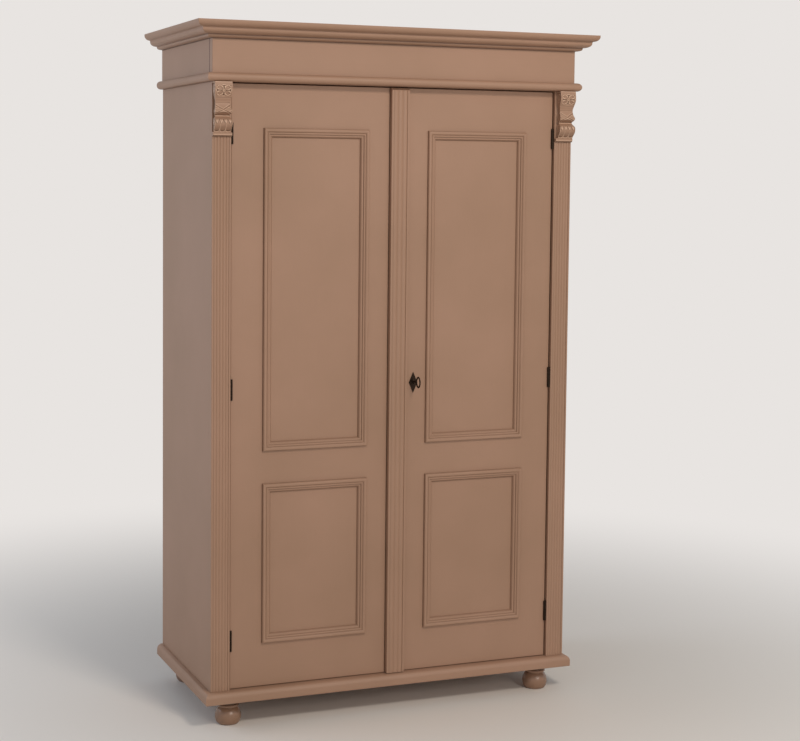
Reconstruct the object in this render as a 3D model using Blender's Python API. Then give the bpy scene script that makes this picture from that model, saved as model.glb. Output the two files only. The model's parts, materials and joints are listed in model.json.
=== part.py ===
"""Two-door painted softwood wardrobe with a moulded crown, corbels, panelled doors and bun feet.

Metres, +Z up. The doors face -Y. The origin lies on the floor, under the middle of the whole piece.
"""
import math

import bmesh
import bpy
from mathutils import Matrix, Vector

# Clearances
FIT = 0.0003                      # between pieces that touch
MITRE_GAP = 0.0004                # between two mouldings that meet at a corner
OVERRUN = 0.002                   # how far a cutter runs past the face that it opens

# Carcass
BODY_WIDTH = 1.090
BODY_DEPTH = 0.515                # from the face of the pilasters to the back
CARCASS_HEIGHT = 1.6708           # from the base board to the underside of the frieze
SIDE_THICKNESS = 0.022
BACK_THICKNESS = 0.008
BACK_LIP = 0.006                  # what a side panel keeps outside the back's rebate
BACK_BOARD_COUNT = 8
BACK_GROOVE = 0.0016              # depth and half width of the V between two back boards
BACK_TOP_DROP = 0.012
TOP_THICKNESS = 0.020

# Base board and feet
BASE_THICKNESS = 0.0325
BASE_OVERHANG = 0.0175
BASE_ROUND = 0.0155
BASE_CHAMFER = 0.0025
FOOT_HEIGHT = 0.073
FOOT_RADIUS = 0.0368
FOOT_SIDE_INSET = 0.065           # from the body's side to the foot's centre
FOOT_FRONT_INSET = 0.050
FOOT_BACK_INSET = 0.052
# (share of the radius, share of the height), from the floor up
FOOT_SHARES = ((0.0, 0.0), (0.72, 0.0), (0.86, 0.045), (0.97, 0.165), (1.0, 0.28), (0.97, 0.42),
               (0.88, 0.54), (0.765, 0.622), (0.722, 0.65), (0.78, 0.675), (0.825, 0.715),
               (0.79, 0.765), (0.715, 0.79), (0.715, 1.0), (0.0, 1.0))

# Pilasters, which stand flush with the side panels and carry the corbels
PILASTER_WIDTH = 0.0545
PILASTER_THICKNESS = 0.026
PILASTER_REEDS = 5
PILASTER_MARGIN = 0.0053
REED_RISE = 0.0016

# Corbels
CORBEL_HEIGHT = 0.146
CORBEL_REACH = 0.0281
CORBEL_OUTER_INSET = 0.0005       # behind the pilaster's outer edge
CORBEL_INNER_INSET = 0.0045
CORBEL_CAP_HEIGHT = 0.011
CORBEL_CAP_BEVEL = 0.004          # under the cap, back to the pilaster
CORBEL_CAP_REACH = 0.0085
# (share of the reach, share of the height, share of the width), from the top down
CORBEL_SHARES = ((0.90, 0.0, 1.0), (0.957, 0.048, 1.0), (1.0, 0.117, 1.0), (0.978, 0.186, 1.0),
                 (0.783, 0.255, 0.93), (0.633, 0.312, 0.875), (0.565, 0.362, 0.853), (0.576, 0.413, 0.853),
                 (0.712, 0.475, 0.89), (0.907, 0.53, 0.96), (0.797, 0.57, 0.94), (0.488, 0.60, 0.87),
                 (0.388, 0.62, 0.85), (0.452, 0.643, 0.86), (0.626, 0.665, 0.90), (0.865, 0.70, 0.98),
                 (0.943, 0.75, 1.0), (0.861, 0.81, 1.0), (0.566, 0.873, 0.985), (0.317, 0.93, 0.97),
                 (0.30, 1.0, 0.97))

# Frieze, bead and crown
FRIEZE_HEIGHT = 0.1607
FRIEZE_STEP = 0.011               # how far the frieze stands in front of the pilasters
FRIEZE_SIDE_STEP = 0.0025
FRIEZE_FRONT_THICKNESS = 0.026
FRIEZE_SIDE_THICKNESS = 0.018
BEAD_HEIGHT = 0.024
BEAD_REACH = 0.0166
CROWN_HEIGHT = 0.0445
CROWN_REACH = 0.0535
CROWN_FILLET = 0.0035
# (share of the reach where a curve ends, share of the height where it ends), from the bottom up
CROWN_STEP_SHARES = ((0.03, 0.0), (0.30, 0.21), (0.34, 0.21), (0.68, 0.56), (0.72, 0.60), (1.0, 1.0))

# Doors
DOOR_THICKNESS = 0.022
DOOR_SETBACK = 0.0095             # behind the face of the pilasters
DOOR_FLOOR_GAP = 0.002
DOOR_HEAD_GAP = 0.0025
MEETING_GAP = 0.0015
DOORS_OFFSET = 0.003              # of the strip's and the panels' middle from the middle of the piece
OUTER_STILE_WIDTH = 0.0985        # before the offset moves both panels to the right
BOTTOM_RAIL_HEIGHT = 0.1305
LOWER_PANEL_HEIGHT = 0.4275
MIDDLE_RAIL_HEIGHT = 0.111
TOP_RAIL_HEIGHT = 0.1286
PANEL_THICKNESS = 0.010
GROOVE_DEPTH = 0.009
PANEL_ROOM = 0.001                # left for the panel to swell at each edge
MOULDING_WIDTH = 0.026
MOULDING_LAP = 0.010              # how far the moulding lies on the stiles and rails
MOULDING_RISE = 0.0092
# (share of the width from the outer edge, share of the rise above the door's face)
MOULDING_SHARES = ((0.0, 0.0), (0.01, 0.55), (0.07, 0.84), (0.17, 1.0), (0.29, 0.97), (0.39, 0.80),
                   (0.45, 0.60), (0.50, 0.68), (0.58, 0.66), (0.65, 0.50), (0.67, 0.22), (0.80, 0.18),
                   (0.90, -0.10), (0.97, -0.45))

# Centre strip, fixed to the right door
STRIP_WIDTH = 0.054
STRIP_THICKNESS = 0.0145
STRIP_REEDS = 3
STRIP_MARGIN = 0.006
STRIP_REED_RISE = 0.002
STRIP_CHAMFER = 0.007

# Hinges
HINGE_HEIGHT = 0.058
HINGE_END_DISTANCE = 0.135        # from a door's end to the middle of its outer hinges
HINGE_KNUCKLE_RADIUS = 0.0035
HINGE_PIN_RADIUS = 0.0015
HINGE_PIN_CLEARANCE = 0.0002
HINGE_LEAF_THICKNESS = 0.001
HINGE_LEAF_WIDTH = 0.0148
HINGE_KNUCKLE_GAP = 0.0004        # between the two knuckles, and from a knuckle to the pilaster

# Lock, key and bolts
LOCK_FROM_STRIP = 0.0245          # from the centre strip's edge to the key's axis
LOCK_TO_PANEL = 0.048             # from the key's axis to the panel's opening
LOCK_HEIGHT = 0.945               # of the key's axis above the floor
LOCK_CASE_HEIGHT = 0.065
LOCK_CASE_DEPTH = 0.014
LOCK_CASE_WALL = 0.002
LOCK_CASE_TAIL = 0.024            # from the key's axis to the case's far end
KEY_CHAMBER_CLEARANCE = 0.0018    # round the end of the bit
KEYHOLE_CLEARANCE = 0.0006        # round the shank
KEYHOLE_SLOT_CLEARANCE = 0.0008   # round the bit
LOCK_BOLT_HEIGHT = 0.012
LOCK_BOLT_THICKNESS = 0.006
LOCK_BOLT_RAISE = 0.0158          # from the key's axis up to the middle of the bolt
LOCK_BOLT_TRAVEL = 0.010
LOCK_BOLT_TAIL = 0.012            # from the key's axis to the bolt's inner end
LOCK_BOLT_RECESS = 0.0008         # of its tip behind the door's edge at rest
MORTISE_CLEARANCE = 0.0008
ESCUTCHEON_WIDTH = 0.026
ESCUTCHEON_HEIGHT = 0.060
ESCUTCHEON_DROP = 0.004            # of its middle below the key's axis
ESCUTCHEON_THICKNESS = 0.0016
KEY_SHANK_RADIUS = 0.0026
KEY_COLLAR_RISE = 0.002           # beyond the shank
KEY_COLLAR_LENGTH = 0.004
KEY_BOW_LENGTH = 0.028            # along the shank
KEY_BOW_HEIGHT = 0.033
KEY_BOW_THICKNESS = 0.0042
KEY_STEM_LENGTH = 0.0225          # from the escutcheon to the bow
KEY_BIT_LENGTH = 0.0082           # from the key's axis
KEY_BIT_THICKNESS = 0.002
KEY_BIT_WIDTH = 0.0055
DOOR_BOLT_LENGTH = 0.120
DOOR_BOLT_WIDTH = 0.010
DOOR_BOLT_THICKNESS = 0.006
DOOR_BOLT_TRAVEL = 0.012
DOOR_BOLT_DROP = 0.001            # of its end below the door's top at rest
DOOR_BOLT_KNOB_RISE = 0.020       # from the bolt's lower end to its knob
DOOR_BOLT_NECK_RADIUS = 0.0025
DOOR_BOLT_HEAD_RADIUS = 0.005
DOOR_BOLT_HEAD_LENGTH = 0.006
DOOR_BOLT_HEAD_GAP = 0.001        # from the door's back to the knob's head

# Inside
SHELF_HEADROOM = 0.2535           # from the hat shelf up to the top of the side panels
SHELF_THICKNESS = 0.020
SHELF_SETBACK = 0.014             # behind the doors
CLEAT_HEIGHT = 0.080
CLEAT_THICKNESS = 0.020
CLEAT_SETBACK = 0.014             # behind the shelf's front edge, and before the back panel
RAIL_RADIUS = 0.014
RAIL_CLEARANCE = 0.0006           # round the rail in its cleats
RAIL_DROP = 0.045                 # from the shelf's underside to the rail's axis

# How finely round things are cut
FOOT_SEGMENTS = 24
RAIL_SEGMENTS = 20
KNUCKLE_SEGMENTS = 14
KEY_SEGMENTS = 12
BOW_SEGMENTS = 20
BOW_TUBE_SEGMENTS = 8
ROUND_STEPS = 5
REED_STEPS = 4
BEAD_STEPS = 10
SMOOTH_ANGLE = math.radians(40)

# Planes and edges that follow from the sizes above
TOTAL_DEPTH = BODY_DEPTH + FRIEZE_STEP + CROWN_REACH
BACK_Y = TOTAL_DEPTH / 2
FACE_Y = BACK_Y - BODY_DEPTH
FRIEZE_Y = FACE_Y - FRIEZE_STEP
HALF_BODY = BODY_WIDTH / 2
HALF_FRIEZE = HALF_BODY + FRIEZE_SIDE_STEP
SIDE_INNER = HALF_BODY - SIDE_THICKNESS
PILASTER_INNER = HALF_BODY - PILASTER_WIDTH
BACK_FRONT_Y = BACK_Y - BACK_THICKNESS
HALF_BACK = HALF_BODY - BACK_LIP - FIT
BASE_TOP = FOOT_HEIGHT + BASE_THICKNESS
CARCASS_TOP = BASE_TOP + CARCASS_HEIGHT
FRIEZE_TOP = CARCASS_TOP + FRIEZE_HEIGHT
DOOR_FRONT_Y = FACE_Y + DOOR_SETBACK
DOOR_BACK_Y = DOOR_FRONT_Y + DOOR_THICKNESS
DOOR_MIDDLE_Y = (DOOR_FRONT_Y + DOOR_BACK_Y) / 2
DOOR_BOTTOM = BASE_TOP + DOOR_FLOOR_GAP
DOOR_TOP = CARCASS_TOP - DOOR_HEAD_GAP
DOOR_OUTER = PILASTER_INNER - 2 * (HINGE_LEAF_THICKNESS + FIT) - HINGE_KNUCKLE_GAP
STRIP_LEFT = DOORS_OFFSET - STRIP_WIDTH / 2
STRIP_RIGHT = DOORS_OFFSET + STRIP_WIDTH / 2
LOCK_X = STRIP_RIGHT + LOCK_FROM_STRIP
PANEL_OUTER = DOOR_OUTER - OUTER_STILE_WIDTH
PANEL_INNER = LOCK_X + LOCK_TO_PANEL - DOORS_OFFSET
RIGHT_MEETING_X = STRIP_LEFT
LEFT_MEETING_X = RIGHT_MEETING_X - MEETING_GAP
LOWER_PANEL_BOTTOM = DOOR_BOTTOM + BOTTOM_RAIL_HEIGHT
LOWER_PANEL_TOP = LOWER_PANEL_BOTTOM + LOWER_PANEL_HEIGHT
UPPER_PANEL_BOTTOM = LOWER_PANEL_TOP + MIDDLE_RAIL_HEIGHT
UPPER_PANEL_TOP = DOOR_TOP - TOP_RAIL_HEIGHT
HINGE_AXIS_X = PILASTER_INNER - HINGE_KNUCKLE_GAP - HINGE_KNUCKLE_RADIUS
HINGE_AXIS_Y = DOOR_FRONT_Y - FIT - HINGE_KNUCKLE_RADIUS
STRIP_FRONT_Y = DOOR_FRONT_Y - STRIP_THICKNESS
LOCK_CASE_FRONT_Y = DOOR_BACK_Y - LOCK_CASE_DEPTH
LOCK_BOLT_Y = DOOR_BACK_Y - LOCK_CASE_DEPTH / 2
LOCK_BOLT_Z = LOCK_HEIGHT + LOCK_BOLT_RAISE
KEY_CHAMBER_RADIUS = KEY_BIT_LENGTH + KEY_CHAMBER_CLEARANCE
DOOR_BOLT_X = (LEFT_MEETING_X + DOORS_OFFSET - PANEL_INNER + GROOVE_DEPTH) / 2
DOOR_BOLT_TOP = DOOR_TOP - DOOR_BOLT_DROP
DOOR_BOLT_BOTTOM = DOOR_BOLT_TOP - DOOR_BOLT_LENGTH
DOOR_BOLT_KNOB_Z = DOOR_BOLT_BOTTOM + DOOR_BOLT_KNOB_RISE
SHELF_TOP = CARCASS_TOP - SHELF_HEADROOM
SHELF_BOTTOM = SHELF_TOP - SHELF_THICKNESS
SHELF_FRONT_Y = DOOR_BACK_Y + SHELF_SETBACK
CLEAT_FRONT_Y = SHELF_FRONT_Y + CLEAT_SETBACK
CLEAT_BACK_Y = BACK_FRONT_Y - CLEAT_SETBACK
RAIL_Y = (CLEAT_FRONT_Y + CLEAT_BACK_Y) / 2
RAIL_Z = SHELF_BOTTOM - RAIL_DROP

PAINT = ("taupe_paint", (0.352, 0.223, 0.157), 0.45, 0.0)
BLACK_IRON = ("black_iron", (0.012, 0.011, 0.010), 0.42, 1.0)
STEEL = ("zinc_steel", (0.42, 0.41, 0.39), 0.40, 1.0)
PALE_WOOD = ("pale_beech", (0.60, 0.40, 0.22), 0.50, 0.0)


def clear_scene():
    """Empty the file of whatever it opened with."""
    for item in list(bpy.data.objects):
        bpy.data.objects.remove(item, do_unlink=True)


def material(finish):
    """The Principled material of a finish, made on first use."""
    name, colour, roughness, metallic = finish
    if name in bpy.data.materials:
        return bpy.data.materials[name]
    made = bpy.data.materials.new(name)
    made.use_nodes = True
    shader = made.node_tree.nodes["Principled BSDF"]
    shader.inputs["Base Color"].default_value = (*colour, 1.0)
    shader.inputs["Roughness"].default_value = roughness
    shader.inputs["Metallic"].default_value = metallic
    return made


def pivot(name, place, parent=None):
    """An empty on a joint's axis, which the pieces of one moving body hang from."""
    empty = bpy.data.objects.new(name, None)
    bpy.context.collection.objects.link(empty)
    empty.location = place
    bpy.context.view_layer.update()
    if parent:
        hang(empty, parent)
    return empty


def hang(child, parent):
    """Parent an object and leave it where it is."""
    child.parent = parent
    child.matrix_parent_inverse = parent.matrix_world.inverted()
    bpy.context.view_layer.update()


def finish_piece(name, shape, finish, parent=None, smooth=False):
    """Turn a bmesh into a named object with its material."""
    bmesh.ops.recalc_face_normals(shape, faces=shape.faces)
    mesh = bpy.data.meshes.new(name)
    shape.to_mesh(mesh)
    shape.free()
    if smooth:
        mesh.shade_smooth()
        mesh.set_sharp_from_angle(angle=SMOOTH_ANGLE)
    mesh.materials.append(material(finish))
    piece = bpy.data.objects.new(name, mesh)
    bpy.context.collection.objects.link(piece)
    if parent:
        hang(piece, parent)
    return piece


def box(low, high):
    """A block between two corners."""
    shape = bmesh.new()
    size = [b - a for a, b in zip(low, high)]
    middle = Vector([(a + b) / 2 for a, b in zip(low, high)])
    place = Matrix.Translation(middle) @ Matrix.Diagonal((*size, 1.0))
    bmesh.ops.create_cube(shape, size=1.0, matrix=place)
    return shape


def loft(rings, closed=False):
    """A body through rings of equally many points, with flat ends unless the rings close on themselves."""
    shape = bmesh.new()
    loops = [[shape.verts.new(point) for point in ring] for ring in rings]
    pairs = list(zip(loops, loops[1:]))
    if closed:
        pairs.append((loops[-1], loops[0]))
    else:
        shape.faces.new(loops[0])
        shape.faces.new(loops[-1])
    for near, far in pairs:
        for i in range(len(near)):
            j = (i + 1) % len(near)
            shape.faces.new((near[i], near[j], far[j], far[i]))
    return shape


def prism_z(outline, low, high):
    """An outline in X and Y, drawn out in height."""
    return loft([[(x, y, z) for x, y in outline] for z in (low, high)])


def prism_x(outline, low, high):
    """An outline in Y and Z, drawn out in width."""
    return loft([[(x, y, z) for y, z in outline] for x in (low, high)])


def cylinder(centre, axis, radius, length, segments):
    """A round bar from a centre point along an axis."""
    shape = bmesh.new()
    direction = Vector(axis)
    turn = direction.to_track_quat("Z", "Y").to_matrix().to_4x4()
    middle = Vector(centre) + direction * (length / 2)
    bmesh.ops.create_cone(shape, cap_ends=True, segments=segments, radius1=radius, radius2=radius,
                          depth=length, matrix=Matrix.Translation(middle) @ turn)
    return shape


def combine(base, tool, operation):
    """Join two closed shapes, or cut one with the other."""
    holders = []
    for shape in (base, tool):
        bmesh.ops.recalc_face_normals(shape, faces=shape.faces)
        mesh = bpy.data.meshes.new("working")
        shape.to_mesh(mesh)
        shape.free()
        holder = bpy.data.objects.new("working", mesh)
        bpy.context.collection.objects.link(holder)
        holders.append(holder)
    boolean = holders[0].modifiers.new("combine", "BOOLEAN")
    boolean.operation = operation
    boolean.solver = "EXACT"
    boolean.object = holders[1]
    evaluated = holders[0].evaluated_get(bpy.context.evaluated_depsgraph_get())
    result = bmesh.new()
    result.from_mesh(evaluated.to_mesh())
    evaluated.to_mesh_clear()
    for holder in holders:
        mesh = holder.data
        bpy.data.objects.remove(holder, do_unlink=True)
        bpy.data.meshes.remove(mesh)
    return result


def arc(centre, radii, start, end, steps):
    """Points on an ellipse from one angle to another, in degrees."""
    points = []
    for i in range(steps + 1):
        angle = math.radians(start + (end - start) * i / steps)
        points.append((centre[0] + radii[0] * math.cos(angle), centre[1] + radii[1] * math.sin(angle)))
    return points


def reeded_front(left, right, face_y, margin, count, rise):
    """The front line of a reeded board from left to right: flat margins, and rounded reeds between."""
    pitch = (right - left - 2 * margin) / count
    points = [(left, face_y)]
    for i in range(count):
        start = left + margin + i * pitch
        for k in range(REED_STEPS + 1):
            across = k / REED_STEPS
            height = math.sin(math.pi * across) * rise
            if k > 0 or i == 0:
                points.append((start + across * pitch, face_y + rise - height))
    points.append((right, face_y))
    return points


def foot_place(side, row):
    """Where a foot stands; side is -1 or 1, row is front or back."""
    y = FACE_Y + FOOT_FRONT_INSET if row == "front" else BACK_Y - FOOT_BACK_INSET
    return (side * (HALF_BODY - FOOT_SIDE_INSET), y)


def make_feet():
    """Four turned bun feet with a short neck under the base board."""
    for row in ("front", "back"):
        for side, side_name in ((-1, "left"), (1, "right")):
            x, y = foot_place(side, row)
            height = FOOT_HEIGHT - FIT
            shape = bmesh.new()
            profile = [shape.verts.new((x + r * FOOT_RADIUS, y, z * height)) for r, z in FOOT_SHARES]
            edges = [shape.edges.new(pair) for pair in zip(profile, profile[1:])]
            bmesh.ops.spin(shape, geom=profile + edges, cent=(x, y, 0), axis=(0, 0, 1),
                           angle=math.tau, steps=FOOT_SEGMENTS, use_merge=True)
            bmesh.ops.remove_doubles(shape, verts=shape.verts, dist=FIT / 10)
            finish_piece(f"foot_{row}_{side_name}", shape, PAINT, smooth=True)


def make_base():
    """One thick board with a rounded edge at the front and sides, which is the wardrobe's floor."""
    steps = [(BASE_CHAMFER, FOOT_HEIGHT), (0, FOOT_HEIGHT + BASE_CHAMFER)]
    for inset, z in arc((BASE_ROUND, BASE_TOP - BASE_ROUND), (BASE_ROUND, BASE_ROUND), 180, 90, ROUND_STEPS):
        steps.append((inset, z))
    half = HALF_BODY + BASE_OVERHANG
    front = FACE_Y - BASE_OVERHANG
    rings = []
    for inset, z in steps:
        rings.append([(-half + inset, front + inset, z), (half - inset, front + inset, z),
                      (half - inset, BACK_Y, z), (-half + inset, BACK_Y, z)])
    finish_piece("base_board", loft(rings), PAINT)


def rebated_side(outer, inner, front_y, side):
    """The plan of a side board: its back edge keeps a lip outside the back panel."""
    lip = HALF_BACK + FIT
    outline = [(outer, front_y), (outer, BACK_Y), (lip, BACK_Y), (lip, BACK_FRONT_Y - FIT),
               (inner, BACK_FRONT_Y - FIT), (inner, front_y)]
    return [(side * x, y) for x, y in outline]


def make_carcass():
    """Side panels, pilasters, back and top."""
    low = BASE_TOP + FIT
    high = CARCASS_TOP
    for side, side_name in ((-1, "left"), (1, "right")):
        plan = rebated_side(HALF_BODY, SIDE_INNER, FACE_Y + PILASTER_THICKNESS + FIT, side)
        finish_piece(f"side_panel_{side_name}", prism_z(plan, low, high), PAINT)
        edges = sorted((side * PILASTER_INNER, side * HALF_BODY))
        plan = reeded_front(edges[0], edges[1], FACE_Y, PILASTER_MARGIN, PILASTER_REEDS, REED_RISE)
        plan += [(edges[1], FACE_Y + PILASTER_THICKNESS), (edges[0], FACE_Y + PILASTER_THICKNESS)]
        finish_piece(f"pilaster_{side_name}", prism_z(plan, low, high), PAINT, smooth=True)

    board = 2 * HALF_BACK / BACK_BOARD_COUNT
    front_line = [(-HALF_BACK, BACK_FRONT_Y)]
    back_line = [(-HALF_BACK, BACK_Y)]
    for i in range(1, BACK_BOARD_COUNT):
        joint = -HALF_BACK + i * board
        front_line += [(joint - BACK_GROOVE, BACK_FRONT_Y), (joint, BACK_FRONT_Y + BACK_GROOVE),
                       (joint + BACK_GROOVE, BACK_FRONT_Y)]
        back_line += [(joint - BACK_GROOVE, BACK_Y), (joint, BACK_Y - BACK_GROOVE),
                      (joint + BACK_GROOVE, BACK_Y)]
    front_line.append((HALF_BACK, BACK_FRONT_Y))
    back_line.append((HALF_BACK, BACK_Y))
    plan = front_line + back_line[::-1]
    finish_piece("back_panel", prism_z(plan, low, FRIEZE_TOP - BACK_TOP_DROP), PAINT)

    half = HALF_FRIEZE - FRIEZE_SIDE_THICKNESS - FIT
    bottom = CARCASS_TOP + FIT
    top = box((-half, FRIEZE_Y + FRIEZE_FRONT_THICKNESS + FIT, bottom),
              (half, BACK_FRONT_Y - FIT, bottom + TOP_THICKNESS))
    socket_half = DOOR_BOLT_WIDTH / 2 + MORTISE_CLEARANCE
    socket_deep = DOOR_BOLT_THICKNESS / 2 + MORTISE_CLEARANCE
    rise = DOOR_BOLT_TOP + DOOR_BOLT_TRAVEL + MORTISE_CLEARANCE
    socket = box((DOOR_BOLT_X - socket_half, DOOR_MIDDLE_Y - socket_deep, bottom - OVERRUN),
                 (DOOR_BOLT_X + socket_half, DOOR_MIDDLE_Y + socket_deep, rise))
    finish_piece("top_board", combine(top, socket, "DIFFERENCE"), PAINT)


def make_corbels():
    """Scrolled corbels under the bead, each with a bevelled cap where it dies into its pilaster."""
    top = CARCASS_TOP - FIT
    back = FACE_Y - FIT
    bottom = top - CORBEL_HEIGHT
    cap_front = back - CORBEL_CAP_REACH
    cap_top = bottom + CORBEL_CAP_HEIGHT
    cap_outline = [(back, bottom), (cap_front + CORBEL_CAP_BEVEL, bottom),
                   (cap_front, bottom + CORBEL_CAP_BEVEL), (cap_front, cap_top), (back, cap_top)]
    for side, side_name in ((-1, "left"), (1, "right")):
        inner = side * (PILASTER_INNER + CORBEL_INNER_INSET)
        outer = side * (HALF_BODY - CORBEL_OUTER_INSET)
        middle = (inner + outer) / 2
        rings = []
        for out, down, wide in CORBEL_SHARES:
            half = wide * abs(outer - inner) / 2
            front = back - out * CORBEL_REACH
            z = top - down * CORBEL_HEIGHT
            rings.append([(middle - half, back, z), (middle + half, back, z), (middle + half, front, z),
                          (middle - half, front, z)])
        cap_edges = sorted((side * PILASTER_INNER, side * HALF_BODY))
        cap = prism_x(cap_outline, cap_edges[0], cap_edges[1])
        finish_piece(f"corbel_{side_name}", combine(loft(rings), cap, "UNION"), PAINT, smooth=True)


def crown_profile():
    """The crown's section as (reach, height): three swelling steps with a small fillet between them."""
    places = [(r * CROWN_REACH, z * CROWN_HEIGHT) for r, z in CROWN_STEP_SHARES]
    points = [(FIT, 0)]
    for start, end in zip(places[::2], places[1::2]):
        lip = min(CROWN_FILLET, (end[1] - start[1]) / 2)
        radii = (end[0] - start[0], end[1] - start[1] - lip)
        points += arc((start[0], start[1] + radii[1]), radii, -90, 0, ROUND_STEPS)
        points.append(end)
    points.append((FIT, CROWN_HEIGHT))
    return points


def bead_profile():
    """The bead's section as (reach, height): a half round on a short flat."""
    radius = BEAD_HEIGHT / 2
    points = [(FIT, 0)]
    points += arc((BEAD_REACH - radius, radius), (radius, radius), -90, 90, BEAD_STEPS)
    points.append((FIT, BEAD_HEIGHT))
    return points


def make_cornice():
    """The frieze boards, the bead round their foot, and the three mitred lengths of the crown."""
    low = CARCASS_TOP + FIT
    front_back = FRIEZE_Y + FRIEZE_FRONT_THICKNESS
    front = box((-HALF_FRIEZE, FRIEZE_Y, low), (HALF_FRIEZE, front_back, FRIEZE_TOP))
    finish_piece("frieze_front", front, PAINT)
    for side, side_name in ((-1, "left"), (1, "right")):
        plan = rebated_side(HALF_FRIEZE, HALF_FRIEZE - FRIEZE_SIDE_THICKNESS, front_back + FIT, side)
        finish_piece(f"frieze_{side_name}", prism_z(plan, low, FRIEZE_TOP), PAINT)

    bead = bead_profile()
    rings = []
    for side in (-1, 1):
        back_ring = [(side * (HALF_FRIEZE + r), BACK_Y, low + z) for r, z in bead]
        mitre_ring = [(side * (HALF_FRIEZE + r), FRIEZE_Y - r, low + z) for r, z in bead]
        rings += [back_ring, mitre_ring] if side < 0 else [mitre_ring, back_ring]
    finish_piece("bead", loft(rings), PAINT, smooth=True)

    crown = crown_profile()
    low = FRIEZE_TOP - CROWN_HEIGHT
    ends = [[(side * (HALF_FRIEZE + r - MITRE_GAP), FRIEZE_Y - r, low + z) for r, z in crown]
            for side in (-1, 1)]
    finish_piece("crown_front", loft(ends), PAINT, smooth=True)
    for side, side_name in ((-1, "left"), (1, "right")):
        mitre = [(side * (HALF_FRIEZE + r), FRIEZE_Y - r, low + z) for r, z in crown]
        tail = [(side * (HALF_FRIEZE + r), BACK_Y, low + z) for r, z in crown]
        finish_piece(f"crown_{side_name}", loft([mitre, tail]), PAINT, smooth=True)


def make_inside():
    """The hat shelf, the two cleats that carry it, and the clothes rail that passes through them."""
    half = SIDE_INNER - FIT
    shelf = box((-half, SHELF_FRONT_Y, SHELF_BOTTOM + FIT), (half, BACK_FRONT_Y - FIT, SHELF_TOP))
    finish_piece("hat_shelf", shelf, PAINT)
    for side, side_name in ((-1, "left"), (1, "right")):
        edges = sorted((side * (half - CLEAT_THICKNESS), side * half))
        cleat = box((edges[0], CLEAT_FRONT_Y, SHELF_BOTTOM - CLEAT_HEIGHT),
                    (edges[1], CLEAT_BACK_Y, SHELF_BOTTOM))
        hole = cylinder((edges[0] - OVERRUN, RAIL_Y, RAIL_Z), (1, 0, 0), RAIL_RADIUS + RAIL_CLEARANCE,
                        CLEAT_THICKNESS + 2 * OVERRUN, RAIL_SEGMENTS)
        finish_piece(f"cleat_{side_name}", combine(cleat, hole, "DIFFERENCE"), PAINT)
    rail = cylinder((FIT - half, RAIL_Y, RAIL_Z), (1, 0, 0), RAIL_RADIUS, 2 * (half - FIT), RAIL_SEGMENTS)
    finish_piece("clothes_rail", rail, PALE_WOOD, smooth=True)


def stile_plan(outer, inner):
    """The plan of a stile with the panel's groove in its inner edge."""
    turn = math.copysign(1, outer - inner)
    bed = inner + turn * GROOVE_DEPTH
    near = DOOR_MIDDLE_Y - PANEL_THICKNESS / 2 - FIT
    far = DOOR_MIDDLE_Y + PANEL_THICKNESS / 2 + FIT
    return [(outer, DOOR_FRONT_Y), (inner, DOOR_FRONT_Y), (inner, near), (bed, near), (bed, far),
            (inner, far), (inner, DOOR_BACK_Y), (outer, DOOR_BACK_Y)]


def rail_section(low, high, groove_low, groove_high):
    """The section of a door rail in Y and Z, grooved where a panel enters it."""
    near = DOOR_MIDDLE_Y - PANEL_THICKNESS / 2 - FIT
    far = DOOR_MIDDLE_Y + PANEL_THICKNESS / 2 + FIT
    points = [(DOOR_FRONT_Y, low), (DOOR_FRONT_Y, high)]
    if groove_high:
        points += [(near, high), (near, high - GROOVE_DEPTH), (far, high - GROOVE_DEPTH), (far, high)]
    points += [(DOOR_BACK_Y, high), (DOOR_BACK_Y, low)]
    if groove_low:
        points += [(far, low), (far, low + GROOVE_DEPTH), (near, low + GROOVE_DEPTH), (near, low)]
    return points


def panel_edges(side, margin=0):
    """The left and right edges of a door's panel opening, pushed out by a margin."""
    middle = DOORS_OFFSET + side * (PANEL_INNER + PANEL_OUTER) / 2
    half = (PANEL_OUTER - PANEL_INNER) / 2 + margin
    return middle - half, middle + half


def door_rail(side, low, high, groove_low, groove_high):
    """A rail between the stiles, with a stub tenon that fills the stiles' grooves at each end."""
    edges = panel_edges(side)
    rail = prism_x(rail_section(low, high, groove_low, groove_high), edges[0] + FIT, edges[1] - FIT)
    reach = GROOVE_DEPTH - FIT
    tenon = box((edges[0] - reach, DOOR_MIDDLE_Y - PANEL_THICKNESS / 2,
                 low + (GROOVE_DEPTH if groove_low else 0)),
                (edges[1] + reach, DOOR_MIDDLE_Y + PANEL_THICKNESS / 2,
                 high - (GROOVE_DEPTH if groove_high else 0)))
    return combine(rail, tenon, "UNION")


def moulding_ring(side, bottom, top):
    """A mitred frame that laps the stiles and rails and closes down on the panel."""
    outer = panel_edges(side, MOULDING_LAP)
    low = bottom - MOULDING_LAP
    high = top + MOULDING_LAP
    face = DOOR_FRONT_Y - FIT
    panel_face = DOOR_MIDDLE_Y - PANEL_THICKNESS / 2 - FIT
    section = [(share * MOULDING_WIDTH, face - rise * MOULDING_RISE) for share, rise in MOULDING_SHARES]
    section += [(MOULDING_WIDTH, panel_face), (MOULDING_LAP + FIT, panel_face), (MOULDING_LAP + FIT, face)]
    corners = ((0, 0), (1, 0), (1, 1), (0, 1))
    rings = []
    for right, up in corners:
        ring = []
        for inward, y in section:
            x = outer[1] - inward if right else outer[0] + inward
            z = high - inward if up else low + inward
            ring.append((x, y, z))
        rings.append(ring)
    return loft(rings, closed=True)


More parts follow.
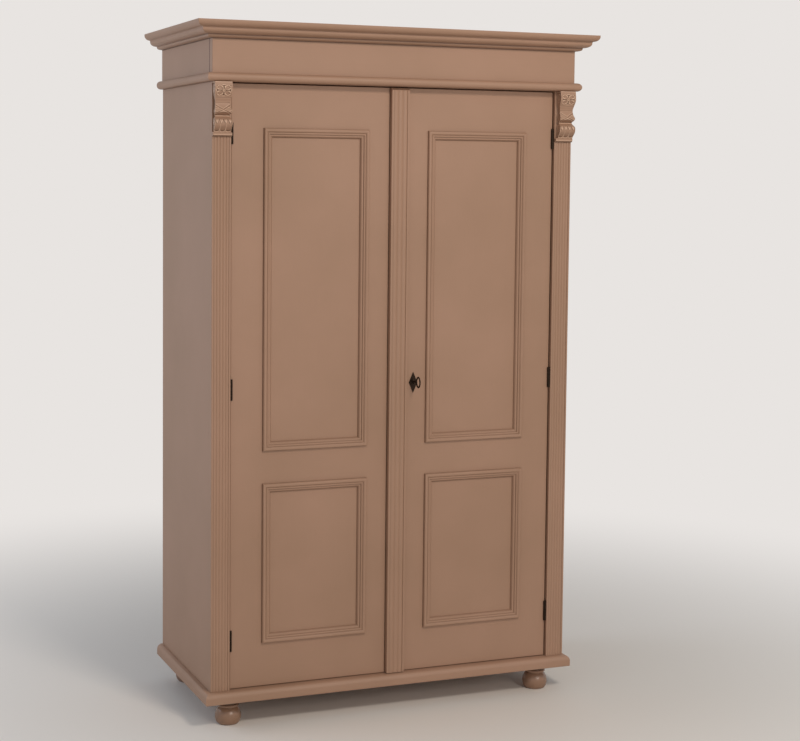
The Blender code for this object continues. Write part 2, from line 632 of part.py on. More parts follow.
def keyhole(near_y, far_y):
    """The cutter of a keyhole: a round hole with a slot under it."""
    hole = cylinder((LOCK_X, near_y, LOCK_HEIGHT), (0, 1, 0), KEY_SHANK_RADIUS + KEYHOLE_CLEARANCE,
                    far_y - near_y, KEY_SEGMENTS)
    slot_half = KEY_BIT_THICKNESS / 2 + KEYHOLE_SLOT_CLEARANCE
    slot_end = LOCK_HEIGHT - KEY_BIT_LENGTH - KEYHOLE_SLOT_CLEARANCE
    slot = box((LOCK_X - slot_half, near_y, slot_end), (LOCK_X + slot_half, far_y, LOCK_HEIGHT))
    return combine(hole, slot, "UNION")


def left_meeting_stile():
    """The left door's free stile, bored for its bolt and mortised for the lock's bolt."""
    shape = prism_z(stile_plan(LEFT_MEETING_X, panel_edges(-1)[1]), DOOR_BOTTOM, DOOR_TOP)
    width = DOOR_BOLT_WIDTH / 2 + FIT
    deep = DOOR_BOLT_THICKNESS / 2 + FIT
    bore = box((DOOR_BOLT_X - width, DOOR_MIDDLE_Y - deep, DOOR_BOLT_BOTTOM - FIT),
               (DOOR_BOLT_X + width, DOOR_MIDDLE_Y + deep, DOOR_TOP + OVERRUN))
    shape = combine(shape, bore, "DIFFERENCE")
    slot_half = DOOR_BOLT_NECK_RADIUS + MORTISE_CLEARANCE
    slot_top = DOOR_BOLT_KNOB_Z + DOOR_BOLT_TRAVEL + slot_half
    slot = box((DOOR_BOLT_X - slot_half, DOOR_MIDDLE_Y, DOOR_BOLT_KNOB_Z - slot_half),
               (DOOR_BOLT_X + slot_half, DOOR_BACK_Y + OVERRUN, slot_top))
    shape = combine(shape, slot, "DIFFERENCE")
    height = LOCK_BOLT_HEIGHT / 2 + MORTISE_CLEARANCE
    thick = LOCK_BOLT_THICKNESS / 2 + MORTISE_CLEARANCE
    reach = RIGHT_MEETING_X + LOCK_BOLT_RECESS - LOCK_BOLT_TRAVEL - MORTISE_CLEARANCE
    mortise = box((reach, LOCK_BOLT_Y - thick, LOCK_BOLT_Z - height),
                  (LEFT_MEETING_X + OVERRUN, LOCK_BOLT_Y + thick, LOCK_BOLT_Z + height))
    return combine(shape, mortise, "DIFFERENCE")


def right_meeting_stile():
    """The right door's free stile, cut out behind for the lock case and pierced for the key."""
    shape = prism_z(stile_plan(RIGHT_MEETING_X, panel_edges(1)[0]), DOOR_BOTTOM, DOOR_TOP)
    half = LOCK_CASE_HEIGHT / 2 + FIT
    pocket = box((RIGHT_MEETING_X - OVERRUN, LOCK_CASE_FRONT_Y - FIT, LOCK_HEIGHT - half),
                 (LOCK_X + LOCK_CASE_TAIL + FIT, DOOR_BACK_Y + OVERRUN, LOCK_HEIGHT + half))
    shape = combine(shape, pocket, "DIFFERENCE")
    return combine(shape, keyhole(DOOR_FRONT_Y - OVERRUN, LOCK_CASE_FRONT_Y + OVERRUN), "DIFFERENCE")


def make_door(side, side_name, body):
    """One door: two stiles, three rails, two panels and their mouldings."""
    opening = panel_edges(side)[0 if side < 0 else 1]
    outer = prism_z(stile_plan(side * DOOR_OUTER, opening), DOOR_BOTTOM, DOOR_TOP)
    finish_piece(f"{side_name}_door_outer_stile", outer, PAINT, body)
    meeting = left_meeting_stile() if side < 0 else right_meeting_stile()
    finish_piece(f"{side_name}_door_meeting_stile", meeting, PAINT, body)
    rails = (("bottom", DOOR_BOTTOM, LOWER_PANEL_BOTTOM, False, True),
             ("middle", LOWER_PANEL_TOP, UPPER_PANEL_BOTTOM, True, True),
             ("top", UPPER_PANEL_TOP, DOOR_TOP, True, False))
    for name, low, high, groove_low, groove_high in rails:
        shape = door_rail(side, low, high, groove_low, groove_high)
        finish_piece(f"{side_name}_door_{name}_rail", shape, PAINT, body)
    panels = (("lower", LOWER_PANEL_BOTTOM, LOWER_PANEL_TOP), ("upper", UPPER_PANEL_BOTTOM, UPPER_PANEL_TOP))
    for name, low, high in panels:
        reach = GROOVE_DEPTH - PANEL_ROOM
        edges = panel_edges(side, reach)
        panel = box((edges[0], DOOR_MIDDLE_Y - PANEL_THICKNESS / 2, low - reach),
                    (edges[1], DOOR_MIDDLE_Y + PANEL_THICKNESS / 2, high + reach))
        finish_piece(f"{side_name}_door_{name}_panel", panel, PAINT, body)
        finish_piece(f"{side_name}_door_{name}_moulding", moulding_ring(side, low, high), PAINT, body)


def make_strip(body):
    """The reeded strip on the right door's free edge, chamfered at its top."""
    plan = reeded_front(STRIP_LEFT, STRIP_RIGHT, STRIP_FRONT_Y, STRIP_MARGIN, STRIP_REEDS, STRIP_REED_RISE)
    plan += [(STRIP_RIGHT, DOOR_FRONT_Y - FIT), (STRIP_LEFT, DOOR_FRONT_Y - FIT)]
    shape = prism_z(plan, DOOR_BOTTOM, DOOR_TOP)
    front = STRIP_FRONT_Y - OVERRUN
    deep = STRIP_FRONT_Y + STRIP_CHAMFER
    wedge = [(front, DOOR_TOP - STRIP_CHAMFER), (front, DOOR_TOP + OVERRUN), (deep, DOOR_TOP + OVERRUN),
             (deep, DOOR_TOP), (STRIP_FRONT_Y, DOOR_TOP - STRIP_CHAMFER)]
    cutter = prism_x(wedge, STRIP_LEFT - OVERRUN, STRIP_RIGHT + OVERRUN)
    finish_piece("centre_strip", combine(shape, cutter, "DIFFERENCE"), PAINT, body, smooth=True)


def hinge_leaf(side, offset, low, high, tab_low, tab_high):
    """A hinge's leaf beside its axis, with the tab that runs forward into the knuckle."""
    near = side * (HINGE_AXIS_X + offset)
    far = side * (HINGE_AXIS_X + offset + HINGE_LEAF_THICKNESS)
    edges = sorted((near, far))
    front = HINGE_AXIS_Y + HINGE_KNUCKLE_RADIUS + HINGE_KNUCKLE_GAP
    plate = box((edges[0], front, low), (edges[1], front + HINGE_LEAF_WIDTH, high))
    tab = box((edges[0], HINGE_AXIS_Y + HINGE_KNUCKLE_RADIUS / 2, tab_low),
              (edges[1], front + HINGE_LEAF_THICKNESS, tab_high))
    return combine(plate, tab, "UNION")


def make_hinges(side, side_name, body):
    """Three butt hinges: the lower knuckle holds the pin, and the upper one turns on it with the door."""
    middle_z = (DOOR_BOTTOM + DOOR_TOP) / 2
    heights = (("bottom", DOOR_BOTTOM + HINGE_END_DISTANCE), ("middle", middle_z),
               ("top", DOOR_TOP - HINGE_END_DISTANCE))
    door_offset = DOOR_OUTER + FIT - HINGE_AXIS_X
    frame_offset = PILASTER_INNER - FIT - HINGE_LEAF_THICKNESS - HINGE_AXIS_X
    knuckle = (HINGE_HEIGHT - HINGE_KNUCKLE_GAP) / 2
    axis_x = side * HINGE_AXIS_X
    for name, middle in heights:
        low = middle - HINGE_HEIGHT / 2
        high = middle + HINGE_HEIGHT / 2
        barrel = cylinder((axis_x, HINGE_AXIS_Y, low), (0, 0, 1), HINGE_KNUCKLE_RADIUS, knuckle,
                          KNUCKLE_SEGMENTS)
        pin_start = middle - HINGE_KNUCKLE_RADIUS
        pin = cylinder((axis_x, HINGE_AXIS_Y, pin_start), (0, 0, 1), HINGE_PIN_RADIUS, high - pin_start,
                       KNUCKLE_SEGMENTS)
        leaf = hinge_leaf(side, frame_offset, low, high, low, low + knuckle)
        shape = combine(combine(barrel, pin, "UNION"), leaf, "UNION")
        finish_piece(f"hinge_{side_name}_{name}_frame_leaf", shape, BLACK_IRON, smooth=True)

        start = high - knuckle
        barrel = cylinder((axis_x, HINGE_AXIS_Y, start), (0, 0, 1), HINGE_KNUCKLE_RADIUS, knuckle,
                          KNUCKLE_SEGMENTS)
        leaf = hinge_leaf(side, door_offset, low, high, start, high)
        bore = cylinder((axis_x, HINGE_AXIS_Y, start - OVERRUN), (0, 0, 1),
                        HINGE_PIN_RADIUS + HINGE_PIN_CLEARANCE, knuckle + 2 * OVERRUN, KNUCKLE_SEGMENTS)
        shape = combine(combine(barrel, leaf, "UNION"), bore, "DIFFERENCE")
        finish_piece(f"hinge_{side_name}_{name}_door_leaf", shape, BLACK_IRON, body, smooth=True)


def make_lock(body, key_body, bolt_body):
    """The lock case let into the right door, its bolt, the escutcheon and the key."""
    half = LOCK_CASE_HEIGHT / 2
    case = box((RIGHT_MEETING_X + FIT, LOCK_CASE_FRONT_Y, LOCK_HEIGHT - half),
               (LOCK_X + LOCK_CASE_TAIL, DOOR_BACK_Y, LOCK_HEIGHT + half))
    height = LOCK_BOLT_HEIGHT / 2
    thick = LOCK_BOLT_THICKNESS / 2
    inner_end = LOCK_X - LOCK_BOLT_TAIL
    channel = box((RIGHT_MEETING_X - OVERRUN, LOCK_BOLT_Y - thick - FIT, LOCK_BOLT_Z - height - FIT),
                  (inner_end + FIT, LOCK_BOLT_Y + thick + FIT, LOCK_BOLT_Z + height + FIT))
    case = combine(case, channel, "DIFFERENCE")
    case = combine(case, keyhole(LOCK_CASE_FRONT_Y - OVERRUN, LOCK_CASE_FRONT_Y + LOCK_CASE_WALL + OVERRUN),
                   "DIFFERENCE")
    chamber = cylinder((LOCK_X, LOCK_CASE_FRONT_Y + LOCK_CASE_WALL, LOCK_HEIGHT), (0, 1, 0),
                       KEY_CHAMBER_RADIUS, LOCK_CASE_DEPTH - 2 * LOCK_CASE_WALL, 2 * KEY_SEGMENTS)
    case = combine(case, chamber, "DIFFERENCE")
    finish_piece("lock_case", case, STEEL, body)

    bolt = box((RIGHT_MEETING_X + LOCK_BOLT_RECESS, LOCK_BOLT_Y - thick, LOCK_BOLT_Z - height),
               (inner_end, LOCK_BOLT_Y + thick, LOCK_BOLT_Z + height))
    finish_piece("lock_bolt", bolt, STEEL, bolt_body)

    plate_back = DOOR_FRONT_Y - FIT
    plate_front = plate_back - ESCUTCHEON_THICKNESS
    tips = ((0, -ESCUTCHEON_HEIGHT / 2), (ESCUTCHEON_WIDTH / 2, 0), (0, ESCUTCHEON_HEIGHT / 2),
            (-ESCUTCHEON_WIDTH / 2, 0))
    middle = LOCK_HEIGHT - ESCUTCHEON_DROP
    rings = [[(LOCK_X + x, y, middle + z) for x, z in tips] for y in (plate_front, plate_back)]
    plate = combine(loft(rings), keyhole(plate_front - OVERRUN, plate_back + OVERRUN), "DIFFERENCE")
    finish_piece("escutcheon", plate, BLACK_IRON, body)

    finish_piece("key", key_shape(plate_front), BLACK_IRON, key_body, smooth=True)


def key_shape(plate_front):
    """The key: a ring bow on edge, a collar against the escutcheon, a shank and a bit inside the lock."""
    collar_front = plate_front - FIT - KEY_COLLAR_LENGTH
    bow_back = plate_front - KEY_STEM_LENGTH
    end_y = DOOR_BACK_Y - LOCK_CASE_WALL - KEY_BIT_THICKNESS
    tube = KEY_BOW_THICKNESS / 2
    shank_start = bow_back - KEY_BOW_THICKNESS
    shank = cylinder((LOCK_X, shank_start, LOCK_HEIGHT), (0, 1, 0), KEY_SHANK_RADIUS, end_y - shank_start,
                     KEY_SEGMENTS)
    collar = cylinder((LOCK_X, collar_front, LOCK_HEIGHT), (0, 1, 0), KEY_SHANK_RADIUS + KEY_COLLAR_RISE,
                      KEY_COLLAR_LENGTH, 2 * KEY_SEGMENTS)
    bit = box((LOCK_X - KEY_BIT_THICKNESS / 2, end_y - KEY_BIT_WIDTH, LOCK_HEIGHT - KEY_BIT_LENGTH),
              (LOCK_X + KEY_BIT_THICKNESS / 2, end_y - KEY_BIT_THICKNESS / 2, LOCK_HEIGHT))
    centre_y = bow_back - KEY_BOW_LENGTH / 2
    rings = []
    for i in range(BOW_SEGMENTS):
        angle = math.tau * i / BOW_SEGMENTS
        out = Vector((0, math.cos(angle), math.sin(angle)))
        middle = Vector((LOCK_X, centre_y, LOCK_HEIGHT)) + Vector(
            (0, (KEY_BOW_LENGTH / 2 - tube) * out.y, (KEY_BOW_HEIGHT / 2 - tube) * out.z))
        ring = []
        for k in range(BOW_TUBE_SEGMENTS):
            turn = math.tau * k / BOW_TUBE_SEGMENTS
            ring.append(middle + tube * (math.cos(turn) * out + math.sin(turn) * Vector((1, 0, 0))))
        rings.append(ring)
    shape = combine(shank, collar, "UNION")
    shape = combine(shape, bit, "UNION")
    return combine(shape, loft(rings, closed=True), "UNION")


def make_door_bolt(bolt_body):
    """The bar that slides up out of the left door into the top board, with its knob behind the door."""
    width = DOOR_BOLT_WIDTH / 2
    thick = DOOR_BOLT_THICKNESS / 2
    bar = box((DOOR_BOLT_X - width, DOOR_MIDDLE_Y - thick, DOOR_BOLT_BOTTOM),
              (DOOR_BOLT_X + width, DOOR_MIDDLE_Y + thick, DOOR_BOLT_TOP))
    neck = cylinder((DOOR_BOLT_X, DOOR_MIDDLE_Y, DOOR_BOLT_KNOB_Z), (0, 1, 0), DOOR_BOLT_NECK_RADIUS,
                    DOOR_THICKNESS / 2 + DOOR_BOLT_HEAD_GAP + DOOR_BOLT_HEAD_LENGTH / 2, KEY_SEGMENTS)
    head = cylinder((DOOR_BOLT_X, DOOR_BACK_Y + DOOR_BOLT_HEAD_GAP, DOOR_BOLT_KNOB_Z), (0, 1, 0),
                    DOOR_BOLT_HEAD_RADIUS, DOOR_BOLT_HEAD_LENGTH, KEY_SEGMENTS)
    shape = combine(combine(bar, neck, "UNION"), head, "UNION")
    finish_piece("left_door_bolt", shape, STEEL, bolt_body)


def build():
    """Make every piece, with the moving ones under empties on their axes."""
    clear_scene()
    make_feet()
    make_base()
    make_carcass()
    make_corbels()
    make_cornice()
    make_inside()
    doors = {}
    for side, side_name in ((-1, "left"), (1, "right")):
        doors[side_name] = pivot(f"{side_name}_door_axis", (side * HINGE_AXIS_X, HINGE_AXIS_Y, DOOR_BOTTOM))
        make_door(side, side_name, doors[side_name])
        make_hinges(side, side_name, doors[side_name])
    make_strip(doors["right"])
    key_axis = pivot("key_axis", (LOCK_X, DOOR_FRONT_Y, LOCK_HEIGHT), doors["right"])
    bolt_axis = pivot("lock_bolt_axis", (LOCK_X, LOCK_BOLT_Y, LOCK_BOLT_Z), doors["right"])
    make_lock(doors["right"], key_axis, bolt_axis)
    make_door_bolt(pivot("left_door_bolt_axis", (DOOR_BOLT_X, DOOR_MIDDLE_Y, DOOR_TOP), doors["left"]))


build()
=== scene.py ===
# %% [markdown]
# # A painted two-door wardrobe
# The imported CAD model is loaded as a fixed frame: sixty plain pieces in metres, with +Z up and the
# doors facing -Y. This lesson dresses it. Plain boards get the softened edges that a hand plane
# leaves, the mouldings get their full curves, the corbels get their carving, and everything gets
# a finish. The whole keeps its size: every new piece reads its place from the one it stands for.

import json
import math

import bmesh
import bpy
import numpy as np
from mathutils import Matrix, Vector

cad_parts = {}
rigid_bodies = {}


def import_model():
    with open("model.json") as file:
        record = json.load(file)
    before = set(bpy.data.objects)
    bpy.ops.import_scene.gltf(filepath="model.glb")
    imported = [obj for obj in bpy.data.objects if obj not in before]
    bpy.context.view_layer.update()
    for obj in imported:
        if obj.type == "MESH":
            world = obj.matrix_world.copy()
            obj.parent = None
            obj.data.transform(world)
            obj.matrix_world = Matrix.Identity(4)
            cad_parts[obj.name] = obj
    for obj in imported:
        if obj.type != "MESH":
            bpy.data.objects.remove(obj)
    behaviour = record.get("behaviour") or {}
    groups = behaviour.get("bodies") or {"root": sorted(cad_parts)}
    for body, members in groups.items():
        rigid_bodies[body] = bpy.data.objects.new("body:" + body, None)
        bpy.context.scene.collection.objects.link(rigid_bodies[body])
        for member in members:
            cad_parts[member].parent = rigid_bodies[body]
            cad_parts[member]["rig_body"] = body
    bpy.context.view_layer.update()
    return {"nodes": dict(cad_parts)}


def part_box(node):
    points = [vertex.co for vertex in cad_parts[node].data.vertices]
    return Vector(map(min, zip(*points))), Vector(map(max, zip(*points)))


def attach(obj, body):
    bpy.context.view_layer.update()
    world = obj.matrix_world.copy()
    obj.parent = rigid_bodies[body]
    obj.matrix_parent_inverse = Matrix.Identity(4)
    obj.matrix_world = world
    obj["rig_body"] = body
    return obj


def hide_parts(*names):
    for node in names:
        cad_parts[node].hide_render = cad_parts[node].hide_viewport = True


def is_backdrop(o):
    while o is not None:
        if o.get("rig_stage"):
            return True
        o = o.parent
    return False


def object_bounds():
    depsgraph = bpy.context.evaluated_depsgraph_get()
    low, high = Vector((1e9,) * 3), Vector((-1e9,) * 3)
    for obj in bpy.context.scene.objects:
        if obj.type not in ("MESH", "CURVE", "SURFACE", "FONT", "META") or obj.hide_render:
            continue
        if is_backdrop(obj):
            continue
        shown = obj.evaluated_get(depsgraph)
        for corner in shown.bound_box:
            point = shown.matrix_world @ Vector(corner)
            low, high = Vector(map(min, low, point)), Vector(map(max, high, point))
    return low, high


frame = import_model()

# %% [markdown]
# ## Colours and nodes
# Paint charts and photographs give colours as sRGB hex, but Blender's shaders count light, so one
# function turns hex into linear values. A second small function adds a node, sets its values and
# joins it up, which keeps each finish below as short as its description.

# %% Two small helpers for materials
MM = 0.001


def linear(hex_colour):
    """An sRGB hex colour as linear RGBA."""
    parts = [int(hex_colour[i:i + 2], 16) / 255 for i in (1, 3, 5)]
    return (*[c / 12.92 if c <= 0.04045 else ((c + 0.055) / 1.055) ** 2.4 for c in parts], 1.0)


def add_node(tree, kind, values=(), links=(), **settings):
    """Add a node, set its properties and socket values, and link other sockets into it."""
    node = tree.nodes.new(kind)
    for name, value in settings.items():
        setattr(node, name, value)
    for socket, value in dict(values).items():
        node.inputs[socket].default_value = value
    for socket, source in dict(links).items():
        tree.links.new(source, node.inputs[socket])
    return node


def new_material(name, roughness, metallic=0.0):
    """A material with a Principled shader, and the node that gives a point's place on the piece."""
    made = bpy.data.materials.new(name)
    made.use_nodes = True
    tree = made.node_tree
    shader = tree.nodes["Principled BSDF"]
    shader.inputs["Roughness"].default_value = roughness
    shader.inputs["Metallic"].default_value = metallic
    place = tree.nodes.new("ShaderNodeTexCoord").outputs["Object"]
    return made, tree, shader, place


# %% [markdown]
# ## Satin paint over softwood
# The photograph shows a dusty taupe with a low gloss. It is taken for satin paint over pine, which
# it doesn't prove. Close up, such paint shows three things: shallow marks that the brush's bristles
# leave along each board, the growth rings of the pine as faint ridges under the film, and a slow
# drift in tone where the coat is thicker. The marks follow the board, so the same finish is made
# once for each direction: a noise texture is squeezed across the stroke and stretched along it.
# Object coordinates are metres, so a scale of one over the real size puts each pattern at its true size. Two
# more values are read from the piece itself, and are nothing where it has none: hollow, which darkens the
# paint, and crest, which makes it paler. The photograph shows such dark lines and pale crests. Both are
# painted light in the colour: hollow is painted shade in corners, creases and under mouldings, and crest is a
# painted highlight on the carving's high spots.

# %% The paint, for boards that run up, across, or front to back
PAINT_THIN = "#A4816B"            # where the coat is thin it is a little lighter and redder
PAINT_THICK = "#9A7962"
BRISTLE_WIDTH = 0.9 * MM
STROKE_LENGTH = 140 * MM
RING_WIDTH = 7 * MM               # between the growth rings of plain-sawn pine
RING_LENGTH = 900 * MM
DRIFT_WIDTH = 320 * MM
STIPPLE_WIDTH = 1.3 * MM
FILM_RELIEF = 0.009 * MM          # how deep the bristle marks and rings are
STROKES_IN_FILM = 0.6             # how much each fine pattern adds to the coarser one under it
STIPPLE_IN_FILM = 0.25
STROKES_IN_TONE = 0.25
TONE_FROM, TONE_TO = 0.42, 0.82   # the part of the mixed noise that runs from thick to thin
PAINT_PLAIN_ROUGHNESS = 0.56      # for a viewer that can't follow the nodes
PAINTED_SHADE_COLOUR = "#523824"         # painted shade, where hollow is full, set by trial against the photograph's dark lines
PAINTED_HIGHLIGHT_COLOUR = "#DDBCA2"          # painted highlight, where crest is full, set by trial against the carving's pale spots


def stretched(tree, place, across, along, axis):
    """Coordinates that run slowly along one axis and fast across the other two."""
    scale = [1 / across] * 3
    scale[axis] = 1 / along
    return add_node(tree, "ShaderNodeMapping", {"Scale": scale}, {"Vector": place}).outputs["Vector"]


def satin_paint(name, axis, rough=(0.51, 0.62)):
    """Brushed satin paint whose strokes and wood grain run along one axis."""
    made, tree, shader, place = new_material(name, PAINT_PLAIN_ROUGHNESS)
    strokes = add_node(tree, "ShaderNodeTexNoise", {"Scale": 1.0, "Detail": 3.0, "Roughness": 0.6},
                       {"Vector": stretched(tree, place, BRISTLE_WIDTH, STROKE_LENGTH, axis)})
    rings = add_node(tree, "ShaderNodeTexNoise", {"Scale": 1.0, "Detail": 2.0, "Distortion": 0.6},
                     {"Vector": stretched(tree, place, RING_WIDTH, RING_LENGTH, axis)})
    drift = add_node(tree, "ShaderNodeTexNoise", {"Scale": 1 / DRIFT_WIDTH, "Detail": 4.0},
                     {"Vector": place})
    stipple = add_node(tree, "ShaderNodeTexNoise", {"Scale": 1 / STIPPLE_WIDTH, "Detail": 1.0},
                       {"Vector": place})
    film = add_node(tree, "ShaderNodeMath", {1: STROKES_IN_FILM},
                    {0: strokes.outputs["Fac"], 2: rings.outputs["Fac"]}, operation="MULTIPLY_ADD")
    relief = add_node(tree, "ShaderNodeMath", {1: STIPPLE_IN_FILM},
                      {0: stipple.outputs["Fac"], 2: film.outputs[0]}, operation="MULTIPLY_ADD")
    cover = add_node(tree, "ShaderNodeMath", {1: STROKES_IN_TONE},
                     {0: strokes.outputs["Fac"], 2: drift.outputs["Fac"]}, operation="MULTIPLY_ADD")
    spread = add_node(tree, "ShaderNodeMapRange", {"From Min": TONE_FROM, "From Max": TONE_TO},
                      {"Value": cover.outputs[0]})
    tone = add_node(tree, "ShaderNodeMix", {6: linear(PAINT_THICK), 7: linear(PAINT_THIN)},
                    {0: spread.outputs[0]}, data_type="RGBA")
    # hollow paints shade into the colour, darkening corners, creases and undersides
    hollow = add_node(tree, "ShaderNodeAttribute", attribute_name="hollow")
    shaded_paint = add_node(tree, "ShaderNodeMix", {7: linear(PAINTED_SHADE_COLOUR)},
                       {0: hollow.outputs["Fac"], 6: tone.outputs[2]}, data_type="RGBA")
    # crest paints a highlight into the colour on high spots
    crest = add_node(tree, "ShaderNodeAttribute", attribute_name="crest")
    highlighted_paint = add_node(tree, "ShaderNodeMix", {7: linear(PAINTED_HIGHLIGHT_COLOUR)},
                      {0: crest.outputs["Fac"], 6: shaded_paint.outputs[2]}, data_type="RGBA")
    tree.links.new(highlighted_paint.outputs[2], shader.inputs["Base Color"])
    gloss = add_node(tree, "ShaderNodeMapRange", {"To Min": rough[0], "To Max": rough[1]},
                     {"Value": strokes.outputs["Fac"]})
    tree.links.new(gloss.outputs[0], shader.inputs["Roughness"])
    bump = add_node(tree, "ShaderNodeBump", {"Strength": 1.0, "Distance": FILM_RELIEF},
                    {"Height": relief.outputs[0]})
    tree.links.new(bump.outputs[0], shader.inputs["Normal"])
    return made


paint_up = satin_paint("taupe_satin_paint_brushed_up", 2)
paint_across = satin_paint("taupe_satin_paint_brushed_across", 0)
paint_deep = satin_paint("taupe_satin_paint_brushed_front_to_back", 1)
paint_turned = satin_paint("taupe_satin_paint_on_turned_feet", 0, rough=(0.20, 0.30))  # they shine more
print("paint", PAINT_THIN, PAINT_THICK, "relief", FILM_RELIEF / MM, "mm")

# %% [markdown]
# ## Metal and bare wood
# The key, its plate and the hinges look nearly black, and are taken for iron blackened in oil, which
# is uneven from the forge and a little shinier in patches. The lock case, the bolts and the clothes
# rail are hidden, so their finishes are guesses: zinc-plated steel, and waxed beech, which is known
# by the short brown flecks of its rays.

# %% Blackened iron, zinc-plated steel and beech
FORGE_WIDTH = 3 * MM
IRON_BLACK = "#1D1713"
IRON_RUBBED = "#3A2F27"
ZINC_LIGHT = "#B9B8B4"
ZINC_DULL = "#8F8F8C"
BEECH_LIGHT = "#D3A878"
BEECH_DARK = "#B58455"
BEECH_FLECK = "#8A5D38"
GRAIN_WIDTH = 2.2 * MM
GRAIN_LENGTH = 260 * MM
GRAIN_RELIEF = 0.03 * MM
FLECK_LENGTH = 4 * MM
FLECK_WIDTH = 0.5 * MM
FLECK_FROM, FLECK_TO = 0.66, 0.74  # the part of the noise where a fleck fades in


def metal(name, dark, light, grit, stretch, roughness, relief):
    """A metal whose tone and polish change over grit-sized patches, drawn out along Z by stretch."""
    made, tree, shader, place = new_material(name, roughness[0], metallic=1.0)
    patches = add_node(tree, "ShaderNodeTexNoise", {"Scale": 1.0, "Detail": 4.0},
                       {"Vector": stretched(tree, place, grit, grit * stretch, 2)})
    tone = add_node(tree, "ShaderNodeMix", {6: linear(dark), 7: linear(light)},
                    {0: patches.outputs["Fac"]}, data_type="RGBA")
    polish = add_node(tree, "ShaderNodeMapRange", {"To Min": roughness[1], "To Max": roughness[0]},
                      {"Value": patches.outputs["Fac"]})
    bump = add_node(tree, "ShaderNodeBump", {"Distance": relief}, {"Height": patches.outputs["Fac"]})
    tree.links.new(tone.outputs[2], shader.inputs["Base Color"])
    tree.links.new(polish.outputs[0], shader.inputs["Roughness"])
    tree.links.new(bump.outputs[0], shader.inputs["Normal"])
    return made


iron = metal("blackened_forged_iron", IRON_BLACK, IRON_RUBBED, grit=FORGE_WIDTH, stretch=1.0,
             roughness=(0.34, 0.52), relief=0.12 * MM)
zinc = metal("zinc_plated_steel", ZINC_DULL, ZINC_LIGHT, grit=0.6 * MM, stretch=30.0,
             roughness=(0.30, 0.46), relief=0.01 * MM)


def waxed_beech(name):
    """Beech turned and waxed, with its grain and flecks along X."""
    made, tree, shader, place = new_material(name, roughness=0.45)
    grain = add_node(tree, "ShaderNodeTexNoise", {"Scale": 1.0, "Detail": 3.0},
                     {"Vector": stretched(tree, place, GRAIN_WIDTH, GRAIN_LENGTH, 0)})
    flecks = add_node(tree, "ShaderNodeTexNoise", {"Scale": 1.0, "Detail": 0.0},
                      {"Vector": stretched(tree, place, FLECK_WIDTH, FLECK_LENGTH, 0)})
    wood = add_node(tree, "ShaderNodeMix", {6: linear(BEECH_DARK), 7: linear(BEECH_LIGHT)},
                    {0: grain.outputs["Fac"]}, data_type="RGBA")
    fleck = add_node(tree, "ShaderNodeMapRange", {"From Min": FLECK_FROM, "From Max": FLECK_TO},
                     {"Value": flecks.outputs["Fac"]})
    both = add_node(tree, "ShaderNodeMix", {7: linear(BEECH_FLECK)},
                    {0: fleck.outputs[0], 6: wood.outputs[2]}, data_type="RGBA")
    bump = add_node(tree, "ShaderNodeBump", {"Distance": GRAIN_RELIEF}, {"Height": grain.outputs["Fac"]})
    tree.links.new(both.outputs[2], shader.inputs["Base Color"])
    tree.links.new(bump.outputs[0], shader.inputs["Normal"])
    return made


beech = waxed_beech("waxed_turned_beech")
print("metals and wood", iron.name, zinc.name, beech.name)

# %% [markdown]
# ## Every CAD piece gets a finish first
# A CAD piece whose shape is right stays as it is. Its finish goes on through its material slots,
# and the paint's direction follows the way that the board was cut: stiles, sides and panels up,
# rails and shelves across, side mouldings front to back.

# %% Finish the CAD pieces by name
ACROSS = ("rail", "shelf", "base_board", "top_board", "frieze_front", "crown_front", "bead")
DEEP = ("frieze_left", "frieze_right", "crown_left", "crown_right", "cleat")
IRON_PIECES = ("hinge", "escutcheon", "key")
STEEL_PIECES = ("lock", "left_door_bolt")


def finish_of(node):
    """The finish of a piece, and the record's material slot that it belongs to."""
    if node == "clothes_rail":
        return beech, "pale_beech"
    if node.startswith(STEEL_PIECES):
        return zinc, "zinc_steel"
    if node.startswith(IRON_PIECES):
        return iron, "black_iron"
    if node.startswith(DEEP):
        return paint_deep, "taupe_paint"
    if any(word in node for word in ACROSS):
        return paint_across, "taupe_paint"
    return paint_up, "taupe_paint"


for node, piece in frame["nodes"].items():
    piece.data.materials.clear()
    piece.data.materials.append(finish_of(node)[0])
print("finished", len(frame["nodes"]), "CAD pieces")

# %% [markdown]
# ## From a bmesh to a piece
# Each new piece is shaped in a bmesh and ends here. Its faces are turned outwards, smooth shading
# is kept off the sharp edges, and it rides on the body of the CAD piece that it stands for. A small
# bevel would tilt the shading of the whole board beside it, so the normals are weighted by area.

# %% Turn a shape into a piece of the wardrobe
CREASE = math.radians(32)


def dress(name, shape, *stands_for, finish=None):
    """Make the piece that replaces one or more CAD pieces, with their body and finish."""
    bmesh.ops.recalc_face_normals(shape, faces=shape.faces)
    mesh = bpy.data.meshes.new(name)
    shape.to_mesh(mesh)
    shape.free()
    mesh.shade_smooth()
    mesh.set_sharp_from_angle(angle=CREASE)
    material, slot = finish_of(stands_for[0])
    mesh.materials.append(finish or material)
    piece = bpy.data.objects.new(name, mesh)
    bpy.context.scene.collection.objects.link(piece)
    piece.modifiers.new("flat_faces_stay_flat", "WEIGHTED_NORMAL").keep_sharp = True
    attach(piece, frame["nodes"][stands_for[0]]["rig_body"])
    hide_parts(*stands_for)
    print(name, "for", ", ".join(stands_for), "faces", len(mesh.polygons))
    return piece


# %% [markdown]
# ## Painted shade in the corners
# In the photograph the inner corners, and the lines where two pieces meet, are darker than the boards. That
# shade is painted into the colour: each piece carries it as a number at every vertex, named hollow, which the
# paint reads. A vertex lies in a corner if its neighbours rise above it along its normal.

# %% Paint shade into inner corners
LEAN = (0.12, 0.55)               # how far the neighbours rise where the painted shade starts, and where it is full


def smooth_step(value, low, high):
    """0 below low, 1 above high, and a smooth rise between."""
    share = min(1.0, max(0.0, (value - low) / (high - low)))
    return share * share * (3 - 2 * share)


